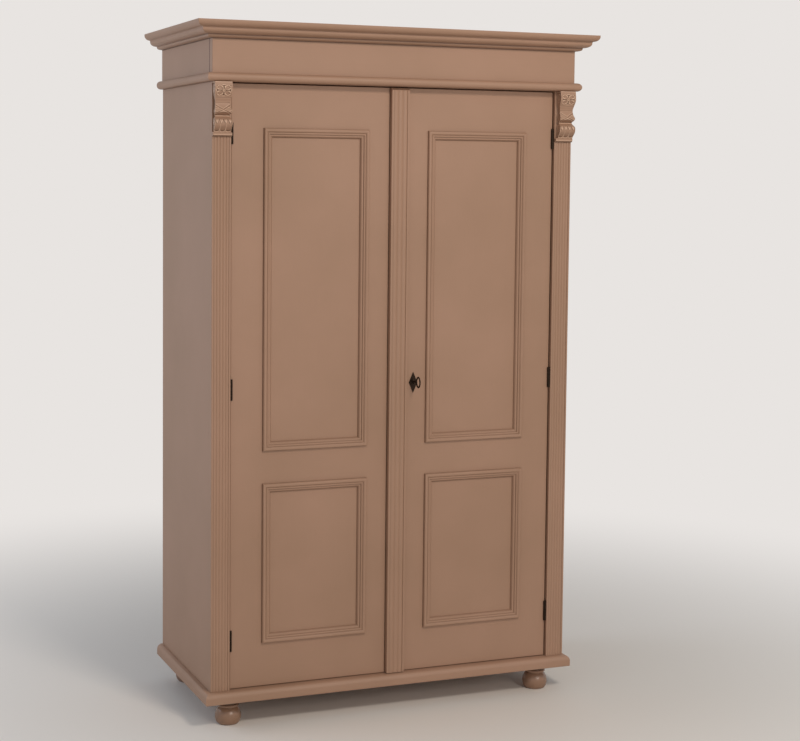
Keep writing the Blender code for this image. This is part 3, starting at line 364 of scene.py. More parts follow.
def mark_painted_shade(piece, strength=1.0, touching=None, everywhere=0.0):
    """Paint shade, as hollow, into a piece's inner corners by strength and into the vertices that touching
    picks in full, and darken every other vertex by at least everywhere."""
    shape = bmesh.new()
    shape.from_mesh(piece.data)
    shape.normal_update()
    marks = []
    for v in shape.verts:
        toward = [(e.other_vert(v).co - v.co).normalized() for e in v.link_edges]
        mark = smooth_step(sum(toward, Vector()).dot(v.normal) / 2, *LEAN)
        marks.append(1.0 if touching and touching(v.co) else max(everywhere, strength * mark))
    shape.free()
    piece.data.attributes.new("hollow", "FLOAT", "POINT").data.foreach_set("value", marks)


# %% [markdown]
# ## Boards with eased edges
# No painted board has a knife edge: the maker takes the arris off with a plane or sandpaper, so the paint
# holds and the edge catches a thin line of light. A copy of the CAD board is welded and its flat triangles
# are dissolved, and the edges that stay in sight are bevelled by one millimetre. The photograph shows no line
# between a door's rails and stiles, so those edges stay sharp and the rails are drawn out over the CAD's
# small gap. It does show a line at the frieze's side joints and under the crown, so at the side joints the
# bevel is wider and the joint carries painted shade, and under the crown a ring of vertices bounds a band of
# painted shadow.

# %% Ease chosen edges of a board
EASE = 1.0 * MM
JOINT_EASE = 1.6 * MM             # where two frieze boards meet, so that the joint shows as a line
SIDE_JOINT_EASE = 5.0 * MM        # on the side boards, set to the photograph's line
CROWN_HEIGHT = 44.5 * MM          # how far the crown comes down over the frieze
CROWN_SHADOW_HEIGHT = 3.0 * MM              # height of the band of painted shadow under the crown
JOINT_GAP = 0.28 * MM             # how far a rail is drawn out at each end, towards the stile
EASE_STEPS = 3
ON_PLANE = 0.02 * MM
WELD = ON_PLANE / 10
FLAT = math.radians(0.5)
SQUARE = math.radians(60)


def board_copy(node):
    """The CAD board as one clean solid."""
    shape = bmesh.new()
    shape.from_mesh(frame["nodes"][node].data)
    bmesh.ops.remove_doubles(shape, verts=shape.verts, dist=WELD)
    bmesh.ops.dissolve_limit(shape, angle_limit=FLAT, verts=shape.verts, edges=shape.edges)
    return shape


def on_planes(edge, planes, box):
    """Whether an edge lies in all of the named sides of a box, such as x- or z+."""
    for plane in planes:
        axis = "xyz".index(plane[0])
        at = box[1 if plane[1] == "+" else 0][axis]
        if any(abs(v.co[axis] - at) > ON_PLANE for v in edge.verts):
            return False
    return True


def bevel(shape, edges, width, steps):
    """Round the edges off over a width, in a number of steps."""
    bmesh.ops.bevel(shape, geom=edges, offset=width, offset_type="OFFSET", segments=steps, profile=0.5,
                    affect="EDGES", material=-1, clamp_overlap=True)


def saw(shape, place, normal, clear_outer=False):
    """Part a whole shape along a plane, and with clear_outer lose the part that the normal points to."""
    bmesh.ops.bisect_plane(shape, geom=list(shape.verts) + list(shape.edges) + list(shape.faces),
                           plane_co=place, plane_no=normal, clear_outer=clear_outer)


def eased(node, *corners, width=EASE, rings=(), longer=0.0):
    """Bevel the convex edges that lie in the named sides of a board, such as 'x- y-', add rings of
    vertices at some heights, and draw both ends out a little."""
    shape = board_copy(node)
    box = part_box(node)
    bevel(shape, [e for e in shape.edges if len(e.link_faces) == 2 and e.calc_face_angle_signed() > SQUARE
                  and any(on_planes(e, corner.split(), box) for corner in corners)], width, EASE_STEPS)
    for height in rings:
        saw(shape, (0, 0, height), (0, 0, 1))
    for v in shape.verts:
        v.co.x += math.copysign(longer, v.co.x - (box[0].x + box[1].x) / 2)
    return dress(f"{node}_eased", shape, node)


crown_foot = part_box("frieze_front")[1].z - CROWN_HEIGHT
crown_shadow_band = (crown_foot - CROWN_SHADOW_HEIGHT, crown_foot)


def under_crown(place):
    """Whether a point of the frieze lies at the crown's foot or behind the crown."""
    return place.z > crown_foot - ON_PLANE


for side, outer, inner in (("left", "x-", "x+"), ("right", "x+", "x-")):
    eased(f"{side}_door_outer_stile", outer, "z-", "z+", f"{inner} y+")
    eased(f"{side}_door_bottom_rail", "z-", "z+ y+", longer=JOINT_GAP)
    eased(f"{side}_door_middle_rail", "z- y+", "z+ y+", longer=JOINT_GAP)
    eased(f"{side}_door_top_rail", "z+", "z- y+", longer=JOINT_GAP)
    eased(f"{side}_door_meeting_stile", f"{inner} y-", f"{inner} y+", "z- y-", "z- y+", "z+ y-", "z+ y+",
          f"{outer} y+")
    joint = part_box(f"frieze_{side}")[0].y
    # the side joint and the band under the crown carry painted shade
    mark_painted_shade(eased(f"frieze_{side}", f"{outer} y-", width=SIDE_JOINT_EASE, rings=crown_shadow_band),
           touching=lambda place: place.y < joint + SIDE_JOINT_EASE / 2 or under_crown(place))
    eased(f"cleat_{side}", "y-", f"{inner} z-")
# the band under the crown carries painted shadow
mark_painted_shade(eased("frieze_front", "x- y-", "x+ y-", "x- y+", "x+ y+", "z+", width=JOINT_EASE, rings=crown_shadow_band),
       touching=under_crown)
eased("hat_shelf", "y- z+", "y- z-")

# %% [markdown]
# ## Reeded pilasters and centre strip
# A reed is a shallow round that a moulding plane runs down a board. Its section is an arc, so each
# reed here is one point spun about its centre, and the next reed starts where the last one ended.
# The finished section is drawn up to the board's full height.

# %% Spin a row of reeds and draw it up
REED_STEPS = 10
CORNER_STEPS = 4


def spin_on(shape, point, centre, angle, steps):
    """Spin the last point of a line about a centre in plan, and return the new last point."""
    made = bmesh.ops.spin(shape, geom=[point], cent=(*centre, point.co.z), axis=(0, 0, 1),
                          dvec=(0, 0, 0), angle=angle, steps=steps, use_merge=False)
    return next(v for v in made["geom_last"] if isinstance(v, bmesh.types.BMVert))


def line_to(shape, point, x, y):
    """Carry a line on to a point in plan."""
    end = shape.verts.new((x, y, point.co.z))
    shape.edges.new((point, end))
    return end


def reeded_board(low, high, margin, count, rise, corner):
    """A board with rounded front corners, whose flat margins and the crests of its reeds lie in its front."""
    shape = bmesh.new()
    front = low.y
    start = shape.verts.new((low.x, high.y, low.z))
    point = line_to(shape, start, low.x, front + corner)
    point = spin_on(shape, point, (low.x + corner, front + corner), math.pi / 2, CORNER_STEPS)
    pitch = (high.x - low.x - 2 * margin) / count
    radius = ((pitch / 2) ** 2 + rise ** 2) / (2 * rise)
    half = math.asin(pitch / 2 / radius)
    point = line_to(shape, point, low.x + margin, front)
    point = line_to(shape, point, low.x + margin, front + rise)
    for i in range(count):
        middle = low.x + margin + (i + 0.5) * pitch
        point = spin_on(shape, point, (middle, front + radius), 2 * half, REED_STEPS)
    point = line_to(shape, point, high.x - margin, front)
    point = line_to(shape, point, high.x - corner, front)
    point = spin_on(shape, point, (high.x - corner, front + corner), math.pi / 2, CORNER_STEPS)
    point = line_to(shape, point, high.x, high.y)
    shape.edges.new((point, start))
    bmesh.ops.remove_doubles(shape, verts=shape.verts, dist=WELD)
    section = bmesh.ops.contextual_create(shape, geom=list(shape.edges))["faces"]
    drawn = bmesh.ops.extrude_face_region(shape, geom=section)["geom"]
    bmesh.ops.translate(shape, verts=[v for v in drawn if isinstance(v, bmesh.types.BMVert)],
                        vec=(0, 0, high.z - low.z))
    return shape


PILASTER_MARGIN = 5.3 * MM
PILASTER_REEDS = 5
PILASTER_RISE = 1.6 * MM
PILASTER_GROOVE_SHADE = 0.1            # painted shade in its grooves, which are hardly darker than its reeds
for side in ("left", "right"):
    low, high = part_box(f"pilaster_{side}")
    shape = reeded_board(low, high, PILASTER_MARGIN, PILASTER_REEDS, PILASTER_RISE, EASE)
    mark_painted_shade(dress(f"pilaster_{side}_reeded", shape, f"pilaster_{side}"), PILASTER_GROOVE_SHADE)

# %% Make the centre strip, with its top planed back at an angle
STRIP_MARGIN = 6 * MM
STRIP_REEDS = 3
STRIP_RISE = 2 * MM
STRIP_CORNER = 1.5 * MM
STRIP_CHAMFER = 7 * MM
low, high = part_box("centre_strip")
shape = reeded_board(low, high, STRIP_MARGIN, STRIP_REEDS, STRIP_RISE, STRIP_CORNER)
saw(shape, (0, low.y, high.z - STRIP_CHAMFER), (0, -1, 1), clear_outer=True)
bmesh.ops.holes_fill(shape, edges=[e for e in shape.edges if e.is_boundary], sides=0)
dress("centre_strip_reeded", shape, "centre_strip")

# %% [markdown]
# ## Panel mouldings, grown by insets
# Each panel is held by a frame of planted moulding, mitred at the corners. A rectangle that is inset
# again and again, by the moulding's width and height at each point of its section, gives every
# mitre exactly, with no cutting. The back is a second rectangle inset the same way, stepped where
# the moulding sits down over the edge of the stiles, and the two are welded.

# %% Grow the four panel mouldings
# (distance in from the outer edge, height above the door's face), in millimetres
MOULDING_SECTION = ((0, 0), (0.1, 2.9), (0.4, 4.9), (0.95, 6.5), (1.8, 7.75), (2.9, 8.6), (4.2, 9.1),
                    (5.3, 9.2), (6.6, 9.05), (7.9, 8.6), (9.1, 7.95), (10.2, 7.1), (11.1, 6.1), (11.7, 5.2),
                    (12.1, 5.9), (13.0, 6.35), (14.2, 6.3), (15.3, 5.85), (16.3, 5.0), (17.0, 3.9),
                    (17.3, 2.7), (17.4, 1.9), (18.0, 1.85), (20.4, 1.75), (20.9, 1.6), (22.1, 0.75),
                    (23.3, -0.5), (24.4, -2.1), (25.2, -3.8), (25.7, -5.0))
MOULDING_LAP = 10.3 * MM          # how much of its width lies on the stiles and rails
MOULDING_CORNER_SHADE = 0.25           # painted shade in its inner corners; the line along its outer edge, where it meets the stiles, carries painted shade in full


def rectangle(low, high, y, toward):
    """A shape of one upright rectangle whose face looks along -Y or +Y."""
    shape = bmesh.new()
    corners = [(low.x, y, low.z), (high.x, y, low.z), (high.x, y, high.z), (low.x, y, high.z)]
    face = shape.faces.new([shape.verts.new(c) for c in corners])
    face.normal_update()
    if face.normal.y * toward < 0:
        bmesh.ops.reverse_faces(shape, faces=[face])
    return shape, face


def step_in(shape, face, inward, outward):
    """Inset a face, and push it out along its normal."""
    bmesh.ops.inset_individual(shape, faces=[face], thickness=inward, depth=outward, use_even_offset=True)


def joined(shape, other):
    """Add a second bmesh to the first."""
    mesh = bpy.data.meshes.new("joining")
    other.to_mesh(mesh)
    other.free()
    shape.from_mesh(mesh)
    bpy.data.meshes.remove(mesh)


def on_rim(place, low, high):
    """Whether a point lies on the outer edge of an upright rectangle."""
    return any(min(place[axis] - low[axis], high[axis] - place[axis]) < ON_PLANE for axis in (0, 2))


for side in ("left", "right"):
    for level in ("lower", "upper"):
        node = f"{side}_door_{level}_moulding"
        low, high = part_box(node)
        face_y = low.y + max(height for _, height in MOULDING_SECTION) * MM
        shape, face = rectangle(low, high, face_y, -1)
        for near, far in zip(MOULDING_SECTION, MOULDING_SECTION[1:]):
            step_in(shape, face, (far[0] - near[0]) * MM, (far[1] - near[1]) * MM)
        end = MOULDING_SECTION[-1]
        bmesh.ops.delete(shape, geom=[face], context="FACES_ONLY")
        back, face = rectangle(low, high, face_y, 1)
        step_in(back, face, MOULDING_LAP, 0)
        step_in(back, face, 0, high.y - face_y)
        step_in(back, face, end[0] * MM - MOULDING_LAP, 0)
        bmesh.ops.delete(back, geom=[face], context="FACES_ONLY")
        joined(shape, back)
        bmesh.ops.remove_doubles(shape, verts=shape.verts, dist=WELD)
        rims = [e for e in shape.edges if e.is_boundary]
        bmesh.ops.bridge_loops(shape, edges=rims)
        planted = dress(f"{side}_door_{level}_moulding_planted", shape, node,
                        finish=paint_up if level == "upper" else paint_across)
        # painted shade in the moulding's corners and along its outer edge
        mark_painted_shade(planted, MOULDING_CORNER_SHADE, touching=lambda place: on_rim(place, low, high))

# %% [markdown]
# ## Crown and bead, cut on the mitre
# A joiner buys crown in straight lengths and cuts the corners on a mitre saw. The same is done
# here: a section is drawn out into a length that is too long, and a plane at 45 degrees trims it.
# The crown is three lengths. The bead below it is one rim, so its mitres are welded instead.

# %% Cut mitred lengths of a section
ARC_STEPS = 9
frieze_low, frieze_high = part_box("frieze_front")
body_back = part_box("frieze_left")[1].y


def quarter(start, end, steps):
    """Points on a quarter ellipse that leaves start level and reaches end upright."""
    points = []
    for i in range(steps + 1):
        turn = math.pi / 2 * i / steps
        points.append((start[0] + (end[0] - start[0]) * math.sin(turn),
                       end[1] + (start[1] - end[1]) * math.cos(turn)))
    return points


def length_of(section, run, floor_z, mitres):
    """A straight length of moulding. run is front, left or right, and mitres are cutting planes."""
    shape = bmesh.new()
    reach = 2 * max(p[0] for p in section)
    if run == "front":
        ends = [(frieze_low.x - reach, frieze_low.y), (frieze_high.x + reach, frieze_low.y)]
        out = Vector((0, -1, 0))
    else:
        x = frieze_low.x if run == "left" else frieze_high.x
        ends = [(x, frieze_low.y - reach), (x, body_back)]
        out = Vector((-1 if run == "left" else 1, 0, 0))
    start = Vector((*ends[0], floor_z))
    face = shape.faces.new([shape.verts.new(start + out * r + Vector((0, 0, z))) for r, z in section])
    drawn = bmesh.ops.extrude_face_region(shape, geom=[face])["geom"]
    bmesh.ops.translate(shape, verts=[v for v in drawn if isinstance(v, bmesh.types.BMVert)],
                        vec=(ends[1][0] - ends[0][0], ends[1][1] - ends[0][1], 0))
    for place, normal in mitres:
        saw(shape, place, normal, clear_outer=True)
    return shape


def mitres(run, gap):
    """The saw cuts of a run: a diagonal plane at each front corner, moved back by a gap."""
    cuts = []
    for side, sign, x in (("left", -1, frieze_low.x), ("right", 1, frieze_high.x)):
        corner = Vector((x, frieze_low.y, 0))
        away = Vector((sign, 1, 0)).normalized()
        if run == "front":
            cuts.append((corner - away * gap, away))
        elif run == side:
            cuts.append((corner + away * gap, -away))
    return cuts


# %% Make the crown's three lengths
CROWN_REACH = 53.5 * MM
CROWN_FILLET = 3.5 * MM
# the foot and the head of each of its three rounds, as (share of the reach, share of the height)
CROWN_STEPS = (((0.03, 0.0), (0.30, 0.21)), ((0.34, 0.21), (0.68, 0.56)), ((0.72, 0.60), (1.0, 1.0)))
BEHIND_MOULDING = 0.3 * MM        # the small gap between a moulding and the board that carries it
MITRE_GAP = 0.1 * MM
crown_section = [(BEHIND_MOULDING, 0.0)]
for foot, head in CROWN_STEPS:
    start = (foot[0] * CROWN_REACH, foot[1] * CROWN_HEIGHT)
    top = (head[0] * CROWN_REACH, head[1] * CROWN_HEIGHT)
    fillet = min(CROWN_FILLET, (top[1] - start[1]) / 2)
    crown_section += quarter(start, (top[0], top[1] - fillet), ARC_STEPS)
    crown_section.append(top)
crown_section.append((BEHIND_MOULDING, CROWN_HEIGHT))
for run in ("front", "left", "right"):
    shape = length_of(crown_section, run, crown_foot, mitres(run, MITRE_GAP))
    bmesh.ops.holes_fill(shape, edges=[e for e in shape.edges if e.is_boundary], sides=0)
    # painted shade in the crown's creases, and in full along its foot
    mark_painted_shade(dress(f"crown_{run}_mitred", shape, f"crown_{run}"),
           touching=lambda place: place.z < crown_foot + ON_PLANE)

# %% Make the bead as one rim
bead_low, bead_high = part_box("bead")
bead_reach = frieze_low.y - bead_low.y
bead_radius = (bead_high.z - bead_low.z) / 2
bead_section = [(BEHIND_MOULDING, 0.0), (bead_reach - bead_radius, 0.0)]
for i in range(1, 2 * ARC_STEPS):
    turn = math.pi * i / (2 * ARC_STEPS) - math.pi / 2
    bead_section.append((bead_reach - bead_radius + bead_radius * math.cos(turn),
                         bead_radius + bead_radius * math.sin(turn)))
bead_section += [(bead_reach - bead_radius, 2 * bead_radius), (BEHIND_MOULDING, 2 * bead_radius)]
shape = bmesh.new()
for run in ("front", "left", "right"):
    joined(shape, length_of(bead_section, run, bead_low.z, mitres(run, 0)))
bmesh.ops.remove_doubles(shape, verts=shape.verts, dist=ON_PLANE)
rounded = dress("bead_rounded", shape, "bead")
# painted shadow along the underside of the bead
mark_painted_shade(rounded, touching=lambda place: place.z < bead_low.z + ON_PLANE and place.x > frieze_low.x - MM)

# %% [markdown]
# ## Base board and bun feet
# The base is one thick board whose top edge is rounded over at the front and sides; its back is taken to be
# flat, like the rest of the piece. A bevel with many segments is that round. The feet are turned, so their
# outline is drawn once, on one side, and spun about the foot's own axis. In the photograph they are darker
# than the doors, at the neck most of all, so each foot is darkened a little all over, and its neck, which
# stands in the base's shade, carries painted shade in full.

# %% Round the base board
BASE_ROUND = 15.5 * MM
BASE_CHAMFER = 2.5 * MM
ROUND_STEPS = 10


def cube_between(low, high):
    """A block between two corners."""
    shape = bmesh.new()
    size = high - low
    place = Matrix.Translation((low + high) / 2) @ Matrix.Diagonal((*size, 1.0))
    bmesh.ops.create_cube(shape, size=1.0, matrix=place)
    return shape


def bevel_edges(shape, box, corners, width, steps):
    """Bevel the edges that lie in the named sides of a box."""
    bevel(shape, [e for e in shape.edges if any(on_planes(e, corner.split(), box) for corner in corners)],
          width, steps)


base_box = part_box("base_board")
shape = cube_between(*base_box)
bevel_edges(shape, base_box, ("z+ y-", "z+ x-", "z+ x+"), BASE_ROUND, ROUND_STEPS)
bevel_edges(shape, base_box, ("z- y-", "z- x-", "z- x+"), BASE_CHAMFER, EASE_STEPS)
dress("base_board_rounded", shape, "base_board")

# %% Turn the feet
# (share of the radius, share of the height) from the bottom up: pad, ball, groove, collar, neck
FOOT_OUTLINE = ((0.0, 0.0), (0.72, 0.0), (0.79, 0.012), (0.86, 0.045), (0.925, 0.10), (0.97, 0.165),
                (0.993, 0.225), (1.0, 0.28), (0.993, 0.35), (0.97, 0.42), (0.93, 0.485), (0.88, 0.54),
                (0.82, 0.59), (0.765, 0.622), (0.735, 0.635), (0.722, 0.65), (0.735, 0.665), (0.78, 0.675),
                (0.815, 0.69), (0.825, 0.715), (0.82, 0.745), (0.79, 0.765), (0.73, 0.775), (0.715, 0.79),
                (0.715, 1.0), (0.0, 1.0))
FOOT_NECK = 0.78                  # share of the height above which the neck, in the base's shade, carries painted shade in full
FOOT_DARKENED = 0.28              # the mark on the rest of a foot, set by trial against the photograph
FOOT_TURNS = 72
for side in ("left", "right"):
    for row in ("front", "back"):
        node = f"foot_{row}_{side}"
        low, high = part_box(node)
        middle = (low + high) / 2
        radius = (high.x - low.x) / 2
        shape = bmesh.new()
        outline = [shape.verts.new((middle.x + r * radius, middle.y, low.z + z * (high.z - low.z)))
                   for r, z in FOOT_OUTLINE]
        edges = [shape.edges.new(pair) for pair in zip(outline, outline[1:])]
        bmesh.ops.spin(shape, geom=outline + edges, cent=middle, axis=(0, 0, 1), dvec=(0, 0, 0),
                       angle=math.tau, steps=FOOT_TURNS, use_merge=True)
        bmesh.ops.remove_doubles(shape, verts=shape.verts, dist=WELD)
        # the neck carries painted shade in full; the rest of the foot is darkened a little
        neck = low.z + FOOT_NECK * (high.z - low.z)
        mark_painted_shade(dress(f"{node}_turned", shape, node, finish=paint_turned),
               touching=lambda place: place.z > neck, everywhere=FOOT_DARKENED)

# %% [markdown]
# ## Carved corbels
# Each corbel is a scrolled bracket, carved on its face and its two sides. A carving isn't a stack of
# simple shapes: it is one skin that the gouge pushes in. So the corbel starts as a flat grid that is
# wrapped round three sides of the bracket, and small functions say how far the gouge goes in at
# each place: a rosette, a crossed leaf, four leaf tips over three flutes, and scrolls on the sides.
# The corbels are small in the photograph, so these forms are a reading of it, and the scrolls are mostly a
# guess. Vertices in a cut are marked hollow, which paints shade into the cuts and under the cap, and those on
# a high spot are marked crest, which paints a highlight on them.

# %% The corbel's outline, from the top down
# (share of the reach, share of the height, share of the width)
CORBEL_OUTLINE = ((0.90, 0.0, 1.0), (0.957, 0.048, 1.0), (1.0, 0.117, 1.0), (0.978, 0.186, 1.0),
                  (0.80, 0.255, 0.97), (0.65, 0.312, 0.90), (0.565, 0.362, 0.853), (0.576, 0.413, 0.853),
                  (0.712, 0.475, 0.89), (0.907, 0.53, 0.96), (0.797, 0.57, 0.94), (0.488, 0.60, 0.87),
                  (0.388, 0.62, 0.85), (0.452, 0.643, 0.86), (0.626, 0.665, 0.90), (0.865, 0.70, 0.98),
                  (0.943, 0.75, 1.0), (0.861, 0.81, 1.0), (0.566, 0.873, 0.985), (0.317, 0.925, 0.97),
                  (0.30, 0.93, 0.97), (0.30, 1.0, 0.97))
CORBEL_REACH = 28.1 * MM
CORBEL_INNER_INSET = 4.5 * MM
CORBEL_OUTER_INSET = 0.5 * MM
CAP_HEIGHT = 11 * MM
CAP_REACH = 8.5 * MM
CAP_BEVEL = 4 * MM
CAP_ROUND = 1.0 * MM
CAP_SHADE = -1.6                  # painted shade under the cap, as dark as a cut this deep, in millimetres
CAP_SHADE_SHARE = 0.6             # of the bevel's height, up to which the mark is full


def outline_at(down):
    """Reach and width shares at a share of the height, on a smooth curve through the outline."""
    rows = CORBEL_OUTLINE
    k = max(i for i in range(len(rows) - 1) if rows[i][1] <= down or i == 0)
    before, start, end, after = rows[max(k - 1, 0)], rows[k], rows[k + 1], rows[min(k + 2, len(rows) - 1)]
    gap = end[1] - start[1]
    t = (down - start[1]) / gap
    found = []
    for i in (0, 2):
        slope_in = (end[i] - before[i]) / max(end[1] - before[1], gap) * gap
        slope_out = (after[i] - start[i]) / max(after[1] - start[1], gap) * gap
        found.append((2 * t**3 - 3 * t**2 + 1) * start[i] + (t**3 - 2 * t**2 + t) * slope_in
                     + (3 * t**2 - 2 * t**3) * end[i] + (t**3 - t**2) * slope_out)
    return found


# %% What the gouge takes out of the face
# Lengths are in millimetres here, and heights are counted from the block's skin: a cut is below 0.
def ridge(distance, half_width):
    """A round ridge across a line: 1 on it, 0 from half_width away."""
    share = min(1.0, abs(distance) / half_width)
    return math.sqrt(max(0.0, 1 - share * share))


ROSETTE_HALF = (19.5, 13.2)       # half the width and height of its sunk field
ROSETTE_DEEP = 2.4
ROSETTE_MIDDLE = 122.4            # above the corbel's foot
FIELD_WALL = (0.96, 1.04)         # the field's slope; this and the petals are in shares of the field
PETAL_HALF = 0.40
PETAL_GROWS = (0.02, 0.5)
PETAL_ROUND = (0.55, 0.45)        # where its end starts to round, and over what length
PETAL_END = (0.97, 0.35)          # where it ends, and over what length its rim turns round the end
PETAL_LEAST = 0.02
PETAL_RIM = 0.30                  # where the rim's crest lies, from the edge inwards
PETAL_SLOPE = 0.15
DISH_HEIGHT = 1.0
RIM_HEIGHT = 1.6
BOSS_RADIUS = 4.4
BOSS_SUNK = 1.2
BOSS_HOLE = (0.6, 2.2)            # the radius of its floor and of its mouth
BOSS_HOLE_DEEP = 1.3


def rosette(x, z):
    """Four broad dished leaves that run from a boss to the corners of a sunk field."""
    u, v = abs(x) / ROSETTE_HALF[0], abs(z) / ROSETTE_HALF[1]
    height = -ROSETTE_DEEP * (1 - smooth_step(max(u, v), *FIELD_WALL))
    along, off = (u + v) / 2, (u - v) / 2
    half = (PETAL_HALF * smooth_step(along, *PETAL_GROWS)
            * ridge(max(0.0, along - PETAL_ROUND[0]), PETAL_ROUND[1]))
    if half > PETAL_LEAST and abs(off) < half:
        from_rim = min(1 - abs(off) / half, (PETAL_END[0] - along) / PETAL_END[1])
        rim = ridge(from_rim - PETAL_RIM, PETAL_RIM)
        risen = (DISH_HEIGHT + RIM_HEIGHT * rim) * smooth_step(from_rim, 0.0, PETAL_SLOPE)
        height = max(height, -ROSETTE_DEEP + risen)
    distance = math.hypot(x, z)
    if distance < BOSS_RADIUS:
        hole = BOSS_HOLE_DEEP * (1 - smooth_step(distance, *BOSS_HOLE))
        height = max(height, -BOSS_SUNK + BOSS_SUNK * ridge(distance, BOSS_RADIUS) - hole)
    return height


LEAF_MIDDLE = 71.5
LEAF_HALF = 13.0
ARCH_TOP = 0.42                   # below the leaf's middle, as a share of its half height
ARCH_FALL = 0.60                  # how much lower the arch is at the corbel's edges
ARCH_DEEP = 1.6
ARCH_SLOPE = 0.12
CROSS_DEEP = 1.3
CROSS_SLOPE = 0.15
RIB_COUNT = 2.5                   # waves from the middle of the fan to its edge
RIB_SHIFT = 0.2
RIB_DEEP = 0.9
RIB_SPREAD = 0.25                 # the share of the half width within which the ribs run level
RIB_GROWS = (0.1, 0.4)


def crossed_leaf(x, z, half_width):
    """Cushions that meet at crossed cuts: ribs fan out to both sides, and an arch is cut out below."""
    a, b = x / half_width, z / LEAF_HALF
    arch = b + ARCH_TOP + ARCH_FALL * a * a
    if arch < 0:
        return -ARCH_DEEP * smooth_step(-arch, 0.0, ARCH_SLOPE)
    from_cross = min(abs(a - b), abs(a + b)) / math.sqrt(2)
    height = -CROSS_DEEP * (1 - smooth_step(from_cross, 0.0, CROSS_SLOPE))
    if abs(a) > abs(b):
        rib = 0.5 - 0.5 * math.cos(math.tau * RIB_COUNT * (b / max(abs(a), RIB_SPREAD) + RIB_SHIFT))
        height -= RIB_DEEP * rib * smooth_step(abs(a), *RIB_GROWS)
    return height


TIP_POINT = 34.0
TIP_LENGTH = 14.0
TIP_COUNT = 4
TIP_BLUNT = 0.6                   # 1 is a sharp triangle, 0.5 a round parabola
BESIDE_TIPS = -9.0                # deeper than any flute, so the flutes show there
CURL_HEIGHT = 0.9
CURL_MIDDLE = 6.5
CURL_HALF = 5.5
TIP_SIDE_DEEP = 1.3
TIP_ROOT = 4.0


def leaf_tips(x, z, half_width):
    """A row of leaf tips that curl out over the flutes; z is measured up from their points."""
    pitch = 2 * half_width / TIP_COUNT
    off = (x + half_width) % pitch - pitch / 2
    half = pitch / 2 * min(1.0, max(0.0, z / TIP_LENGTH)) ** TIP_BLUNT
    if abs(off) >= half:
        return BESIDE_TIPS
    dome = ridge(off, half)
    curled = CURL_HEIGHT * ridge(z - CURL_MIDDLE, CURL_HALF) * dome - TIP_SIDE_DEEP * (1 - dome)
    return curled * smooth_step(TIP_LENGTH - z, 0.0, TIP_ROOT)


FLUTE_COUNT = 3
FLUTE_FOOT = 13.5
FLUTE_HALF = 0.46                 # share of the distance from flute to flute
FLUTE_ROUND = 5.0                 # height of the round lower end
FLUTE_LEAST = 0.3
FLUTES_SUNK = 0.7                 # the bars between the flutes lie this deep
FLUTE_DEEP = 0.7                  # under the bars
FLUTE_END_DEEP = 1.9              # added to that at the lower end
FLUTE_DEEPENS = (2, 9)


def flutes(x, z, half_width):
    """Three hollow flutes that deepen towards their round lower ends; z is measured up from these."""
    pitch = 2 * half_width / FLUTE_COUNT
    off = (x + half_width) % pitch - pitch / 2
    half = FLUTE_HALF * pitch * ridge(max(0.0, FLUTE_ROUND - z), FLUTE_ROUND)
    if half < FLUTE_LEAST or abs(off) >= half:
        return -FLUTES_SUNK
    deep = FLUTE_DEEP + FLUTE_END_DEEP * (1 - smooth_step(z, *FLUTE_DEEPENS))
    return -FLUTES_SUNK - deep * ridge(off, half)


def quirk(up, middle, half_height, deep):
    """A narrow groove straight across the face."""
    return -deep * (1 - smooth_step(abs(up - middle), 0.0, half_height))


# the rows of the face, each from its height above the foot upwards
ROSETTE_FROM = 106
UPPER_QUIRK_FROM = 99
LOWER_QUIRK_FROM = 84.5
LEAF_FROM = 56
CARVING_TOP = 144
ROW_FADE = 1.0                    # the top of a row rises to the skin over this height


def face_carving(x, up, half_width):
    """Height of the carved face at a place across from the middle and up from the corbel's foot."""
    if up > ROSETTE_FROM:
        return rosette(x, up - ROSETTE_MIDDLE) * smooth_step(CARVING_TOP - up, 0.0, ROW_FADE)
    if up > UPPER_QUIRK_FROM:
        return quirk(up, middle=103.5, half_height=1.2, deep=0.9)
    if up > LOWER_QUIRK_FROM:
        return quirk(up, middle=90.5, half_height=1.1, deep=0.8)
    if up > LEAF_FROM:
        return (crossed_leaf(x, up - LEAF_MIDDLE, half_width)
                * smooth_step(LOWER_QUIRK_FROM - up, 0.0, ROW_FADE))
    if FLUTE_FOOT < up <= TIP_POINT + TIP_LENGTH:
        return max(leaf_tips(x, up - TIP_POINT, half_width), flutes(x, up - FLUTE_FOOT, half_width))
    return 0.0


# %% What it takes out of the sides
SCROLLS = ((126.0, 12.5), (40.0, 10.5))   # (above the foot, radius)
SCROLL_BACK = 0.45                # share of the side's depth at which their middles lie
SCROLL_TURNS = 1.6
SCROLL_DEEP = 0.8                 # half the height from groove to ridge
EYE_SHARE = 0.28                  # of the scroll's radius
EYE_SUNK = 0.4
EYE_ROUND = 1.2
SIDE_DEEP = 3.2
INNER_SHARE = 0.4                 # of that depth, on the side towards the door
SIDE_BORDER = 1.5
SIDE_BORDER_SLOPE = 1.4
SIDE_CARVED = (12, 143)           # above the foot
SIDE_RIB_PITCH = 5.0
SIDE_RIB_HEIGHT = 0.7
SIDE_RIB_LEAN = 0.2
SIDE_RIB_BEND = 82                # the height at which the ribs change their lean


def scroll(back, z, size):
    """A spiral ridge about a centre, ending in a round eye."""
    distance = math.hypot(back, z)
    if distance < EYE_SHARE * size:
        return -EYE_SUNK - EYE_ROUND * (1 - ridge(distance, EYE_SHARE * size))
    wind = distance / size * SCROLL_TURNS - math.atan2(z, back) / math.tau
    return -SCROLL_DEEP + SCROLL_DEEP * math.cos(math.tau * wind)


